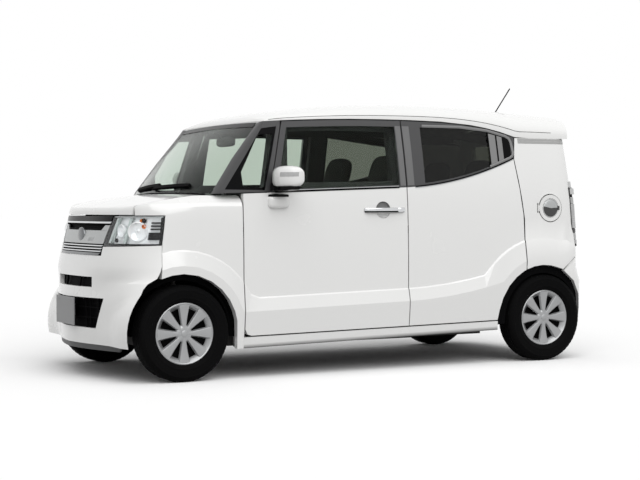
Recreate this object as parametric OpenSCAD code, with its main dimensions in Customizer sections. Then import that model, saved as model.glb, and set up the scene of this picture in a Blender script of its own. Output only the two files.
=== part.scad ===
// Tall kei car with four hinged doors: body panels, glazing, cabin, running gear and wheels as separate sub-parts.
// Millimetres. +X is forward, +Y is the car's left, +Z is up, the origin is on the ground in the middle of the length.

/* [Overall] */
// Distance between the front and rear axles
wheelbase = 2520; // [2460:10:2580]
// Front axle to the foremost point
front_overhang = 475; // [455:5:500]
// Rear axle to the rearmost point
rear_overhang = 400; // [385:5:430]
// Width over the body sides, without the mirrors
body_w = 1475; // [1455:5:1495]
// Height of the roof's crown
roof_z = 1660; // [1640:2:1700]

/* [Wheels] */
// Tyre outer radius, also the height of the axles
tyre_r = 278.5; // [272:0.5:284]
// Tyre width
tyre_w = 155; // [145:1:160]
// Wheel seat radius inside the tyre
rim_r = 178; // [172:1:184]
// Distance between the tyre middles of one axle
track = 1296; // [1286:2:1302]
// Openings of one wheel cover
cover_windows = 8; // [6:1:10]

/* [Body sides] */
// How far the arch flares and the lower doors stand out
flare_out = 24; // [18:1:30]
// Radius of the wheel arch openings
arch_r = 343; // [336:1:352]
// Radius of the front flare's upper crease
crease_front_r = 480; // [470:1:490]
// Radius of the rear flare's upper crease
crease_rear_r = 523; // [510:1:530]
// Width of the lower band of a flare, from the arch to the ledge
flare_band = 46; // [40:1:56]
// Height of the shoulder where the glass leans in
belt_z = 1085; // [1075:1:1095]
// Height of the widest part of the doors
waist_z = 650; // [620:5:680]
// Height of the lower edge of the front door
door_low_z = 250; // [242:1:258]
// Height of the lower edge of the sill
sill_z = 178; // [170:1:186]
// Height of the door crease at the front
crease_z0 = 472; // [462:1:482]
// Height of the door ledge at the front
ledge_z0 = 391; // [383:1:399]

/* [Doors] */
// Front axle back to the front edge of the front door
door_front_set = 376; // [370:1:384]
// Length of the front door
front_door_len = 1115; // [1100:1:1125]
// Rear axle forward to the rear edge of the rear door
door_rear_set = 158; // [150:1:164]
// Thickness of a door below the glass
door_t = 62; // [56:1:66]
// Thickness of a window sash
sash_t = 34; // [30:1:38]
// Gap round the doors and lids
shut_gap = 6.5; // [5.5:0.5:8]
// Radius of a hinge pin
pin_r = 6; // [5:0.5:7]

/* [Panels] */
// Thickness of the fenders and bumpers
panel_t = 28; // [24:1:32]
// Thickness of the rear quarters
quarter_t = 60; // [50:1:66]
// Thickness of the roof
roof_t = 34; // [28:1:40]
// Thickness of the hood and tailgate frames
lid_t = 40; // [34:1:46]
// Seat gap between fixed pieces
seat_gap = 0.5; // [0.3:0.1:0.8]
// Visible seam between fixed panels
seam_gap = 3; // [2:0.5:4]
// Thickness of the glass
glass_t = 5; // [4:0.5:6]

/* [Lids] */
// Fuel flap radius
flap_r = 86; // [80:1:90]
// Height of the fuel flap's middle
flap_z = 988; // [975:1:1000]
// Lower edge of the tailgate
gate_low_z = 520; // [505:1:540]
// Half width of the tailgate
gate_half_w = 588; // [575:1:596]

/* [Running gear] */
// Steering axis distance from the middle plane
kingpin_y = 590; // [580:1:600]
// Spindle radius
spindle_r = 14; // [12:0.5:17]
// Steering wheel radius to the rim's middle
steer_r = 172; // [165:1:185]

/* [Quality] */
// Facets of round pieces
round_fn = 64; // [32:8:96]

/* [Hidden] */
length = front_overhang + wheelbase + rear_overhang;
front_x = length / 2;
rear_x = -length / 2;
axle_f = front_x - front_overhang;
axle_r = axle_f - wheelbase;
axle_z = tyre_r;
hub_y = track / 2;
arch_f_x = axle_f + 12;
arch_r_x = axle_r + 20;
side_w = body_w / 2 - flare_out;
door_x0 = axle_f - door_front_set;
pillar_x = door_x0 - front_door_len;
door_x1 = axle_r + door_rear_set;
nose_s = axle_f - 60;
nose_n = 2.9;
tail_s = axle_r - 110;
tail_n = 4;
strip_z = 1441;
lamp_low_z = 775;
lamp_top_z = 953;
tail_lamp_z = [736, 1164];
bumper_joint_x = axle_f + 144;
sash_low_x = pillar_x + 941;
sash_top_x = pillar_x + 824;
hinge_y = side_w - 20;
hinge_set = 58;
ear_h = 34;
$fn = round_fn;

// Small helpers
function lerp(a, b, t) = a + (b - a) * t;
function unit(t) = min(1, max(0, t));
function ease(t) = let (c = unit(t)) c * c * (3 - 2 * c);
function arc_z(x, cx, r) = abs(x - cx) < r ? axle_z + sqrt(r * r - (x - cx) * (x - cx)) : 0;
module left_and_right() {
    children();
    mirror([0, 1, 0]) children();
}

// A curved wall from an outer and an inner grid of points, with the cells that keep(row, column) leaves out open.
// Rows run up, columns run to the right as seen from outside.
module slab(outer, inner, keep = function(i, j) true) {
    rows = len(outer);
    cols = len(outer[0]);
    far = rows * cols;
    on = function(i, j) i >= 0 && j >= 0 && i < rows - 1 && j < cols - 1 && keep(i, j);
    wall = function(p, q) [[p, q, q + far], [p, q + far, p + far]];
    faces = [
        for (i = [0 : rows - 2], j = [0 : cols - 2])
            if (on(i, j))
                let (a = i * cols + j, b = a + 1, d = a + cols, c = d + 1)
                each concat(
                    [[a, d, c], [a, c, b], [a + far, b + far, c + far], [a + far, c + far, d + far]],
                    on(i - 1, j) ? [] : wall(a, b),
                    on(i, j + 1) ? [] : wall(b, c),
                    on(i + 1, j) ? [] : wall(c, d),
                    on(i, j - 1) ? [] : wall(d, a)
                )
    ];
    polyhedron(points = concat([for (r = outer) each r], [for (r = inner) each r]), faces = faces);
}

// Body form: half width by height, the front and rear outline, and the flares
function half_w(z) = side_w - pow(min(z, belt_z) - waist_z, 2) / 15000
    - (z > belt_z ? 0.14 * (z - belt_z) + pow(z - belt_z, 2) / 8000 : 0);
function nose_x(z) = front_x - 12 - (z > 480 ? 0.26 * (z - 480) : 15 * pow((480 - z) / 280, 2));
function tail_x(z) = rear_x + 55 * ease((z - 520) / 90) + 0.085 * max(0, z - 640) + 12 * pow(max(0,
    400 - z) / 170, 2);
function nose_k(x, z) = unit((x - nose_s) / (nose_x(max(z, 560)) - nose_s));
function tail_k(x, z) = unit((tail_s - x) / (tail_s - tail_x(z)));
function plan_w(x, z) = half_w(z) * pow(1 - pow(nose_k(x, z), nose_n), 1 / nose_n)
    * pow(1 - pow(tail_k(x, z), tail_n), 1 / tail_n);
function lift(x) = 0.00017 * pow(max(0, pillar_x - x), 2);
function ledge_line(x) = max(ledge_z0 + 0.026 * (door_x0 - x) + lift(x),
    arc_z(x, arch_f_x, arch_r + flare_band), arc_z(x, arch_r_x, arch_r + flare_band + 6));
function crease_line(x) = max(crease_z0 + 0.025 * (door_x0 - x) + lift(x),
    arc_z(x, arch_f_x, crease_front_r), arc_z(x, arch_r_x, crease_rear_r));
function sill_line(x) = sill_z + 0.02 * (door_x0 - x);
function door_line(x) = door_low_z + 0.0155 * (door_x0 - x);
function sill_top(x) = door_line(x) - shut_gap - 1.5;
function flare(x, z) =
    let (top = crease_line(x), mid = ledge_line(x), s = (top - z) / max(1, top - mid))
    let (fade = (1 - ease((x - axle_f - 330) / 130)) * (1 - ease((axle_r - 250 - x) / 110)))
    fade * (s <= 0 ? 0 : s < 0.1 ? 60 * s : s < 1 ? lerp(6, flare_out, (s - 0.1) / 0.9)
        : flare_out - 14 * unit((mid - z) / 240));
function side_y(x, z) = plan_w(x, z) + flare(x, z);
function skin(x, z) = [x, side_y(x, z), z];
function skin_in(x, z, t) = [x, half_w(z) * pow(1 - pow(tail_k(x, z), tail_n), 1 / tail_n)
    * pow(1 - pow(nose_k(x, z), nose_n), 1 / nose_n) - t, z];

// Belt, window and roof lines along the side
function belt_line(x) = let (d = max(0, pillar_x - x))
    belt_z + 0.035 * (axle_f - 530 - max(x, pillar_x)) + 0.05 * d + 0.00022 * d * d;
function gutter(x) = let (m = pillar_x + 118, top = strip_z + 99)
    x > m ? top - 0.000044 * pow(x - m, 2) : max(strip_z, top - 40 * pow((m - x) / 759, 3.5));
function window_top(x) = gutter(x) - lerp(44, 24, unit((pillar_x - 140 - x) / 500));
function door_end_x(z) = lookup(z, [[0, door_x1], [912, door_x1], [1302, door_x1 + 54], [strip_z,
    door_x1 + 32],
    [1560, door_x1 + 28]]);

// Front door: columns as [x below the glass, x at the top], rows as heights
front_cols = [
    [door_x0, door_x0], [door_x0 - 14, door_x0 - 14], [door_x0 - 40, door_x0 - 40],
    [lerp(door_x0, sash_low_x, 0.55), sash_top_x + 40], [sash_low_x, sash_top_x],
    [sash_low_x - 42, sash_top_x - 37], [sash_low_x - 200, sash_top_x - 160], [sash_low_x - 420,
        sash_top_x - 360],
    [sash_low_x - 640, sash_top_x - 570], [pillar_x + 49, pillar_x + 49],
    [pillar_x + shut_gap / 2, pillar_x + shut_gap / 2]
];
function front_row(i, x) =
    let (d = unit(1 - (door_x0 - x) / 40), low = door_line(x) + 40 - 40 * sqrt(1 - d * d))
    let (ledge = ledge_line(x), crease = crease_line(x), belt = belt_line(x), glass = belt + 16,
        top = window_top(x))
    [low, lerp(low, ledge, 0.5), ledge, lerp(crease, ledge, 0.1), crease, lerp(crease, belt, 0.3),
        lerp(crease, belt, 0.62), lerp(crease, belt, 0.84), belt, glass, lerp(glass, top, 0.5), top,
        gutter(x) - shut_gap][i];
front_lean = [0, 0, 0, 0, 0, 0, 0, 0, 0, 0.04, 0.47, 0.9, 1];
front_belt_row = 8;
// Rear door columns and rows
rear_cols = [
    pillar_x - shut_gap / 2, pillar_x - 60, pillar_x - 136, pillar_x - 290, pillar_x - 450, pillar_x - 560,
    pillar_x - 633, arch_r_x + arch_r + 6, arch_r_x + arch_r - 6, arch_r_x + arch_r - 30,
        arch_r_x + arch_r - 75,
    arch_r_x + arch_r - 130, arch_r_x + arch_r - 185, door_x1
];
function rear_row(i, x) =
    let (low = max(door_line(x), arc_z(x, arch_r_x, arch_r)))
    let (ledge = ledge_line(x), crease = crease_line(x), belt = belt_line(x), glass = belt + 16,
        top = window_top(x))
    [low, lerp(low, ledge, 0.5), ledge, lerp(crease, ledge, 0.1), crease, lerp(crease, belt, 0.3),
        lerp(crease, belt, 0.62), lerp(crease, belt, 0.84), belt, glass, lerp(glass, top, 0.5), top,
        gutter(x) - shut_gap - 1][i];

// Point of the front door's grid as [x, z]; the upper rows lean back with the sash
function front_xz(i, j) = let (x = lerp(front_cols[j][0], front_cols[j][1], front_lean[i])) [x,
    front_row(i, x)];
// Point of the rear door's grid as [x, z]; the last column follows the curved rear edge
function rear_slide(i, x, z) = let (last = len(rear_cols) - 1)
    x + (door_end_x(z) - door_x1) * unit((x - rear_cols[7]) / (rear_cols[last] - rear_cols[7]));
function rear_xz(i, j) = let (x = rear_cols[j], xa = rear_slide(i, x, rear_row(i, x)))
    let (xb = rear_slide(i, x, rear_row(i, xa)), xe = i < 5 ? x : rear_slide(i, x, rear_row(i, xb)))
    [xe, rear_row(i, xe)];
// The inner face of a door: thinner at the sash, its shut face slanted at one end
function door_in(p, i, slant) = skin_in(p[0] + slant, p[1], i > front_belt_row ? sash_t : door_t);

// Ear and pin of one hinge: the pin stands in a pocket behind the door skin
module hinge_pin(x, z) translate([x, hinge_y, z]) cylinder(h = ear_h + 24, r = pin_r, center = true);
module hinge_pocket(x, z) translate([x - 34, hinge_y - 120, z - ear_h / 2 - 8])
    cube([100, 132, ear_h + 16]);
module hinge_ear(x, z, post_y) translate([x, 0, z - ear_h / 2 + 2]) difference() {
    union() {
        translate([0, hinge_y, 0]) cylinder(h = ear_h - 4, r = pin_r + 5);
        translate([-9, post_y, 0]) cube([18, hinge_y - post_y, ear_h - 4]);
    }
    translate([0, hinge_y, -1]) cylinder(h = ear_h, r = pin_r + 0.3);
}
front_hinge_x = door_x0 - hinge_set;
rear_hinge_x = pillar_x - hinge_set - shut_gap / 2;
hinge_zs = [470, 860];

module front_door_shell() {
    rows = 12;
    cols = len(front_cols) - 1;
    pts = [for (i = [0 : rows]) [for (j = [0 : cols]) front_xz(i, j)]];
    outer = [for (i = [0 : rows]) [for (j = [0 : cols]) skin(pts[i][j][0], pts[i][j][1])]];
    inner = [for (i = [0 : rows]) [for (j = [0 : cols])
        door_in(pts[i][j], i, j == cols ? (i > front_belt_row ? 24 : 44)
            : j == cols - 1 && i <= front_belt_row ? 10 : 0)]];
    open = function(i, j) i > front_belt_row && i < 11 && j > 4 && j < 9;
    slab(outer, inner, function(i, j) (i < front_belt_row || j >= 4) && !open(i, j));
}
module rear_door_shell() {
    rows = 12;
    cols = len(rear_cols) - 1;
    pts = [for (i = [0 : rows]) [for (j = [0 : cols]) rear_xz(i, j)]];
    outer = [for (i = [0 : rows]) [for (j = [0 : cols]) skin(pts[i][j][0], pts[i][j][1])]];
    inner = [for (i = [0 : rows]) [for (j = [0 : cols]) door_in(pts[i][j], i,
        j == cols ? 40 : j == cols - 1 ? 16 : 0)]];
    slab(outer, inner, function(i, j) !(i > front_belt_row && i < 11 && j > 1 && j < 9));
}
module front_door_left() color("white") {
    difference() {
        front_door_shell();
        for (z = hinge_zs) hinge_pocket(front_hinge_x, z);
        door_handle_seat();
    }
    for (z = hinge_zs) hinge_pin(front_hinge_x, z);
}
module front_door_right() mirror([0, 1, 0]) front_door_left();
module rear_door_left() color("white") {
    difference() {
        rear_door_shell();
        for (z = hinge_zs) hinge_pocket(rear_hinge_x, z);
    }
    for (z = hinge_zs) hinge_pin(rear_hinge_x, z);
}
module rear_door_right() mirror([0, 1, 0]) rear_door_left();

// Panes stand in the window cells of their door, set back from its face
module pane(pts, set) {
    rows = len(pts) - 1;
    cols = len(pts[0]) - 1;
    mid = function(i, j) [pts[i][j][0] + (j == 0 ? -seat_gap : j == cols ? seat_gap : 0),
        pts[i][j][1] + (i == 0 ? seat_gap : i == rows ? -seat_gap : 0)];
    slab([for (i = [0 : rows]) [for (j = [0 : cols]) let (p = mid(i, j)) skin(p[0], p[1]) - [0, set, 0]]],
        [for (i = [0 : rows]) [for (j = [0 : cols]) let (p = mid(i, j)) skin(p[0], p[1]) - [0,
            set + glass_t, 0]]]);
}
module front_door_glass_left() color("lightcyan") pane([for (i = [9 : 11]) [for (j = [5
    : 9]) front_xz(i, j)]], 6);
module front_door_glass_right() mirror([0, 1, 0]) front_door_glass_left();
module rear_door_glass_left() color("dimgray") pane([for (i = [9 : 11]) [for (j = [2 : 9]) rear_xz(i,
    j)]], 6);
module rear_door_glass_right() mirror([0, 1, 0]) rear_door_glass_left();

// Door handle: a bar over a round cup on the front door
handle_x = pillar_x + 176;
handle_z = 981;
module door_handle_seat() {
    translate([handle_x, half_w(handle_z) + 60, handle_z]) rotate([90, 0, 0]) cylinder(h = 80, r = 52);
}
module door_handle_left() color("silver") {
    translate([handle_x - 120, half_w(handle_z) + 4, handle_z - 17]) cube([250, 20, 34]);
    foot_y = half_w(handle_z - 14) + 0.2;
    for (x = [handle_x - 110, handle_x + 90])
        translate([x, foot_y, handle_z - 14]) cube([26, half_w(handle_z) + 5 - foot_y, 28]);
}
module door_handle_right() mirror([0, 1, 0]) door_handle_left();

// Door mirror: arm and housing at the front lower corner of the window
mirror_x = sash_low_x - 20;
module mirror_left() color("white") {
    y0 = half_w(1112) + 0.3;
    translate([mirror_x - 60, y0, 1112]) cube([66, 60, 34]);
    translate([mirror_x - 80, y0 + 40, 1100]) rotate([0, 0, -8]) cube([105, 150, 140]);
}
module mirror_right() mirror([0, 1, 0]) mirror_left();

// Side sills under the doors
module side_sills() color("white") left_and_right() {
    xs = [for (k = [0 : 8]) lerp(door_x0 + shut_gap - seat_gap, arch_r_x + arch_r + 4, k / 8)];
    zs = function(i, x) lerp(sill_line(x), sill_top(x), i / 2);
    slab([for (i = [0 : 2]) [for (x = xs) skin(x, zs(i, x))]],
        [for (i = [0 : 2]) [for (x = xs) [x, 560.5, zs(i, x)]]]);
}

// Front fender: grid over the arch, then the shoulder that rounds over to the hood's edge
hood_rear_x = axle_f - 78;
hood_drop = function(x) let (d = max(0, x - hood_rear_x + 24)) 0.1 * d + 0.00022 * d * d;
hood_z = function(x, y) belt_z - 1 - hood_drop(x) - 14 * pow(y / 620, 2);
hood_front_x = function(y) nose_s + (nose_x(lamp_top_z) - nose_s)
    * pow(1 - pow(min(abs(y), 690) / half_w(lamp_top_z), nose_n), 1 / nose_n);
hood_half = function(x) side_w - 92 - 74 * ease((x - axle_f - 158) / 103);
fender_front_x = function(z) lookup(z, [[0, bumper_joint_x], [603, bumper_joint_x], [785,
    bumper_joint_x - 14],
    [953, bumper_joint_x - 36]]);
fender_tip_x = axle_f + 232;
fender_cols = [door_x0 + shut_gap, door_x0 + 24, arch_f_x - arch_r + 1, arch_f_x - arch_r + 6,
    arch_f_x - arch_r + 22,
    arch_f_x - arch_r + 55, arch_f_x - arch_r + 105, arch_f_x - arch_r + 170, arch_f_x - 90, arch_f_x,
        arch_f_x + 70,
    bumper_joint_x, axle_f + 165, axle_f + 190, axle_f + 215, fender_tip_x, fender_tip_x + 13];
fender_main = 11;
fender_slant = [26, 15];
function fender_low(x) = x < arch_f_x - arch_r + 2 ? sill_line(x) : arc_z(x, arch_f_x, arch_r);
function shoulder_z(x) = hood_z(x, hood_half(x)) - 86;
hood_roll = 24;
function fender_edge_z(x) = let (r = unit((x - fender_tip_x) / hood_roll))
    lerp(hood_z(x, hood_half(x)), lamp_top_z + shut_gap, 1 - sqrt(1 - r * r));
function fender_pt(i, j, t) =
    let (x = fender_cols[j], top = max(lamp_top_z + 3, shoulder_z(x)), low = fender_low(x))
    let (ledge = max(low + 12, ledge_line(x)), crease = max(ledge + 14, crease_line(x)))
    i < (j > fender_main ? 7 : 8) ? let (z = [low, ledge, lerp(crease, ledge, 0.1), crease,
        lerp(crease, top, 0.25), lerp(crease, top, 0.5),
            lerp(crease, top, 0.75), top][i], xe = j == fender_main ? fender_front_x(z) - seam_gap : x)
        t > 0 ? skin_in(xe + (j < 2 ? fender_slant[j] : 0), z, t) : skin(xe, z)
    : let (xe = j == fender_main ? fender_front_x(953) - seam_gap : x, a = (i - 7) * 15,
        ys = side_y(xe, top))
      let (ye = hood_half(xe - 4) + shut_gap, ze = fender_edge_z(xe), te = min(t, 1.2 * (ys - ye)))
      let (y = lerp(ys, ye, (1 - cos(a)) / (1 - cos(75))), z = lerp(top, ze, sin(a) / sin(75)))
      t > 0 ? [xe + (j < 2 ? fender_slant[j] : 0), min(y, ys - te * 0.6), z - te * sin(a)] : [xe, y, z];
module front_fender_left() color("white") {
    cols = len(fender_cols) - 1;
    slab([for (i = [0 : 12]) [for (j = [0 : cols]) fender_pt(i, j, 0)]],
        [for (i = [0 : 12]) [for (j = [0 : cols]) fender_pt(i, j, panel_t)]],
        function(i, j) j < fender_main || i > 6);
}
module front_fender_right() mirror([0, 1, 0]) front_fender_left();

// Hood: rows run forward, columns from left to right, the front edge rolls down
hood_rows = [0, 0.16, 0.36, 0.56, 0.76, 0.9, 1];
function hood_pt(i, f, t) =
    let (y0 = f * hood_half(axle_f + 300), x_end = hood_front_x(y0) - seam_gap, roll = hood_roll)
    let (x_back = hood_rear_x - 123 * f * f + (t > 0 ? 4 : 0))
    let (a = i > 6 ? (i - 6) * 22.5 : 0)
    let (x = i <= 6 ? lerp(x_back, x_end - roll, hood_rows[i]) : x_end - roll + roll * sin(a))
    let (y = f * hood_half(x), z0 = hood_z(min(x, x_end - roll), y))
    [x - (t > 0 ? t * 0.7 * unit((i - 5) / 3) : 0), y, lerp(z0, lamp_top_z + shut_gap,
        1 - cos(a)) - (i > 8 ? 0 : t)];
module hood() color("white") {
    fs = [for (k = [0 : 12]) 1 - k / 6];
    slab([for (i = [0 : 10]) [for (f = fs) hood_pt(i, f, 0)]],
        [for (i = [0 : 10]) [for (f = fs) hood_pt(i, f, lid_t * 0.5)]]);
}

// Windscreen, its lower cowl and the posts beside it with the fixed quarter light
screen_top_z = 1503;
function screen_low(f) = [hood_rear_x - 34 - 94 * f * f, f * (side_w - 93), belt_z + 6 - 12 * f * f];
function screen_top(f) = [axle_f - 534 - 8 * f * f, f * (side_w - 168), screen_top_z + 9 - 9 * f * f];
function screen_pt(v, f) = lerp(screen_low(f), screen_top(f), v) + [10, 0, 6] * (4 * v * (1 - v));
module cowl() color("dimgray") {
    fs = [for (k = [0 : 10]) 0.92 * (k / 5 - 1)];
    back = function(f) hood_rear_x - 123 * f * f;
    edge = function(f, k) lerp(screen_low(f) + [0.5, 0, 0.2],
        [back(f) - shut_gap, f * (side_w - 94), hood_z(back(f), f * 620) - 4], k);
    slab([for (k = [1, 0]) [for (f = fs) edge(f, k)]], [for (k = [1, 0]) [for (f = fs) edge(f, k) - [4,
        0, 24]]]);
}
screen_vs = [0, 0.05, 0.47, 0.9, 1];
sash_line = [for (i = [front_belt_row : 12]) let (p = front_xz(i, 4)) [p[1], p[0]]];
light_low = [[axle_f - 259, 1104], [axle_f - 388, 1102], [axle_f - 517, 1100]];
light_top = [[axle_f - 527, 1467], [axle_f - 575, 1474], [axle_f - 628, 1481]];
// Points of the post's side as [x, z]: three columns round the quarter light, the last beside the door's sash
function post_xz(i, j) =
    let (t = [-0.035, 0, 0.5, 1, 1.08][i], p = lerp(light_low[min(j, 4) - 2], light_top[min(j, 4) - 2], t))
    let (x = j == 5 ? lookup(p[1], sash_line) + shut_gap : p[0])
    let (z = i == 0 ? belt_line(x) + shut_gap : i == 4 ? gutter(x) : p[1])
    [j == 5 ? lookup(i == 4 ? z - 20 : z, sash_line) + shut_gap : x, z];
function post_pt(i, j) =
    let (edge = screen_pt(screen_vs[i], 1) + [0, 0.8, 0], p = post_xz(i, max(j, 2)), side = skin(p[0],
        p[1]))
    j == 0 ? edge : j == 1 ? lerp(edge, side, 0.5) + [9, 9, 0] : side;
function post_in(i, j) = post_pt(i, j) - (j < 2 ? [i == 4 ? 4 : 22, 18 * j, i == 4 ? 14 : 0] : [0, 30,
    i == 4 ? 14 : 0]);
module windscreen_posts() color("dimgray") left_and_right() slab(
    [for (i = [0 : 4]) [for (j = [0 : 5]) post_pt(i, j)]],
    [for (i = [0 : 4]) [for (j = [0 : 5]) post_in(i, j)]],
    function(i, j) !((i == 1 || i == 2) && (j == 2 || j == 3)));
module fixed_glass() color("lightcyan") {
    fs = [for (k = [0 : 10]) k / 5 - 1];
    slab([for (v = screen_vs) [for (f = fs) screen_pt(v, f)]],
        [for (v = screen_vs) [for (f = fs) screen_pt(v, f) - glass_t * [0.75, 0, 0.6]]]);
    left_and_right() pane([for (i = [1 : 3]) [for (j = [2 : 4]) post_xz(i, j)]], 6);
}

// Roof: a crown over the gutter lines with a brow above the windscreen
roof_n = 2.7;
roof_as = [0, 4, 10, 18, 28, 40, 54, 70, 90];
function crown_z(x) = let (m = pillar_x - 212) roof_z - (x > m ? 0.000075 : 0.00004) * pow(x - m, 2);
function roof_pt(k, a, t) =
    let (c = cos(a), yk = (c < 0 ? -1 : 1) * pow(abs(c), 2 / roof_n), back = rear_x + 100 + 62 * pow(yk, 4))
    let (head = axle_f - 541 - 8 * min(1, pow(yk * 1.1, 2)), x = lerp(back, head, k))
    let (low = gutter(x) + seat_gap, brow = sqrt(1 - pow(1 - unit((head - x) / 120), 2)))
    let (top = lerp(screen_top_z + 14, crown_z(x), brow))
    [x, yk * (half_w(low) - t), low + (max(top, low + 4) - low - t) * pow(abs(sin(a)), 2 / roof_n)];
// Tailgate hinges: ears in pockets under the roof's rear edge, pins on lugs of the tailgate
gate_pin = [rear_x + 125.5, 128, crown_z(rear_x + 125.5) - 41];
gate_pin_r = 3;
module gate_hinge_pocket() translate(gate_pin + [-16, -8, -20]) cube([42, 52, 34]);
module gate_hinge_ear() difference() {
    translate(gate_pin + [-7, 19, -7]) cube([14, 14, 24]);
    translate(gate_pin) rotate([-90, 0, 0]) cylinder(h = 50, r = gate_pin_r + 0.3);
}
module gate_hinge_lug() {
    translate(gate_pin) rotate([-90, 0, 0]) cylinder(h = 35, r = gate_pin_r);
    translate(gate_pin + [-4, 0, -18]) cube([20, 12, 22]);
}
module roof_shell() {
    ks = [0, 0.03, 0.06, 0.1, 0.14, 0.19, 0.24, 0.29, 0.34, 0.44, 0.54, 0.64, 0.74, 0.83, 0.9, 0.945,
        0.97, 0.985, 0.995, 1];
    as = concat(roof_as, [for (k = [7 : -1 : 0]) 180 - roof_as[k]]);
    slab([for (k = ks) [for (a = as) roof_pt(k, a, 0)]],
        [for (k = ks) [for (a = as) roof_pt(k, a, roof_t)]]);
}
module roof() color("white") {
    difference() {
        roof_shell();
        left_and_right() gate_hinge_pocket();
    }
    left_and_right() gate_hinge_ear();
}

// Rear quarter: from the rear door round the corner to the tailgate, open at the tail lamp
tail_ts = [0.355, 0.53, 0.71, 0.816, 0.9, 0.96, 1];
function tail_end(z) = pow(1 - pow((gate_half_w + shut_gap) / half_w(z), tail_n), 1 / tail_n);
quarter_xs = [door_x1 - shut_gap, axle_r + 95, axle_r + 30, axle_r - 35, axle_r - 85, axle_r - 134];
lamp_col = 8;
function tail_t_x(t, z) = lerp(tail_s, tail_x(z), t * tail_end(z));
function quarter_low(x) = x > axle_r - 134 ? arc_z(x, arch_r_x, arch_r)
    : lookup(-x, [[134 - axle_r, 591], [239 - axle_r, 673], [2000, 673]]);
function quarter_z(i, x) =
    let (low = quarter_low(x), ledge = max(low + 14, ledge_line(x)))
    let (crease = lerp(max(ledge + 18, crease_line(x)), tail_lamp_z[0], unit((axle_r - 190 - x) / 40)))
    [low, ledge, lerp(crease, ledge, 0.1), crease, lerp(crease, tail_lamp_z[1], 0.35),
        lerp(crease, tail_lamp_z[1], 0.7), tail_lamp_z[1], 1302, strip_z][i];
function quarter_xz(i, j) =
    let (x0 = j < 6 ? quarter_xs[j] : tail_t_x(tail_ts[j - 6], 640), z = quarter_z(i, x0))
    let (x = j == 0 ? door_end_x(z) - shut_gap - 0.5 : j < 6 ? x0 : tail_t_x(tail_ts[j - 6], z))
    [x, z];
function quarter_in(i, j) =
    let (p = quarter_xz(i, j), q = skin(p[0], p[1]))
    j == 0 ? skin_in(p[0] - 30, p[1], quarter_t) : j < 8 ? skin_in(p[0], p[1], quarter_t)
        : let (y_min = gate_half_w + 2 + (12 - j) * 3)
          [q[0] + (j - 7) * 3, max(min(q[1] - 8, half_w(p[1]) - quarter_t - (j - 7) * 3), y_min), q[2]];
module rear_quarter_shell() slab(
    [for (i = [0 : 8]) [for (j = [0 : 12]) let (p = quarter_xz(i, j)) skin(p[0], p[1])]],
    [for (i = [0 : 8]) [for (j = [0 : 12]) quarter_in(i, j)]],
    function(i, j) !(i > 2 && i < 6 && j >= lamp_col));
flap_x = axle_r - 50;
flap_y = plan_w(flap_x, flap_z);
// The fuel flap turns on a pin in the gap at its front edge, with a notch for its barrel
flap_pin = [flap_x + flap_r + 4, flap_y - 5, flap_z];
module rear_quarter_left() color("white") {
    difference() {
        rear_quarter_shell();
        translate([flap_x, flap_y + 40, flap_z]) rotate([90, 0, 0]) cylinder(h = 80, r = flap_r + shut_gap);
        translate(flap_pin + [-16, -12, -32]) cube([30, 40, 64]);
    }
    translate(flap_pin) cylinder(h = 76, r = 2.5, center = true);
}
module rear_quarter_right() color("white") mirror([0, 1, 0]) rear_quarter_shell();
module fuel_flap() color("white") difference() {
    union() {
        translate([flap_x, flap_y, flap_z]) rotate([90, 0, 0]) cylinder(h = 6, r = flap_r, center = true);
        translate(flap_pin + [-14, -1, -18]) cube([14, 6, 36]);
        translate(flap_pin) cylinder(h = 36, r = 5.5, center = true);
    }
    translate([flap_x, flap_y + 3, flap_z]) rotate([90, 0,
        0]) rotate_extrude() translate([flap_r * 0.7, 0]) circle(r = 4);
    translate(flap_pin) cylinder(h = 60, r = 2.8, center = true);
}
module tail_lamps() color("firebrick") left_and_right() {
    in_z = function(i, z) z + (i == 0 ? seat_gap + 0.5 : i == 3 ? -seat_gap - 0.5 : 0);
    pt = function(i, j) let (p = quarter_xz(i + 3, j + lamp_col)) skin(p[0] - (j == 0 ? seat_gap : 0),
        in_z(i, p[1]));
    slab([for (i = [0 : 3]) [for (j = [0 : 4]) pt(i, j)]],
        [for (i = [0 : 3]) [for (j = [0 : 4]) pt(i, j) + [j == 0 ? 2 : 4 * j + 6,
            j == 4 ? -3 : -34 + 4 * j, 0]]]);
}

// Tailgate on the rear face with its window, and the pane in it
gate_ys = [1, 0.9, 0.82, 0.55, 0.2, -0.2, -0.55, -0.82, -0.9, -1];
gate_zs = [gate_low_z, 612, 660, 780, 960, 1105, 1130, 1290, 1425];
function gate_top(f) = let (x = rear_x + 140, w = half_w(gutter(x)) - roof_t)
    lerp(gutter(x), crown_z(x) - roof_t, pow(1 - pow(abs(f) * gate_half_w / w, roof_n),
        1 / roof_n)) - shut_gap - 3;
function gate_z(i, f) = i < 9 ? gate_zs[i] : lerp(gate_zs[8], gate_top(f), i == 9 ? 0.5 : 1);
function gate_pt(z, f, set) = let (y = f * gate_half_w, w = plan_w(tail_s, z))
    [tail_s - (tail_s - tail_x(z)) * pow(1 - pow(abs(y) / w, tail_n), 1 / tail_n) + set, y, z];
module tailgate_shell() slab(
    [for (i = [0 : 10]) [for (f = gate_ys) gate_pt(gate_z(i, f), f, 0)]],
    [for (i = [0 : 10]) [for (f = gate_ys) gate_pt(gate_z(i, f), f * (abs(f) > 0.95 ? 0.985 : 1), lid_t)]],
    function(i, j) !(i > 5 && i < 8 && j > 1 && j < 7));
module tailgate() color("white") {
    difference() {
        tailgate_shell();
        left_and_right() translate(gate_pin + [-12, 12, -18]) cube([34, 28, 60]);
    }
    left_and_right() gate_hinge_lug();
}
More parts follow.
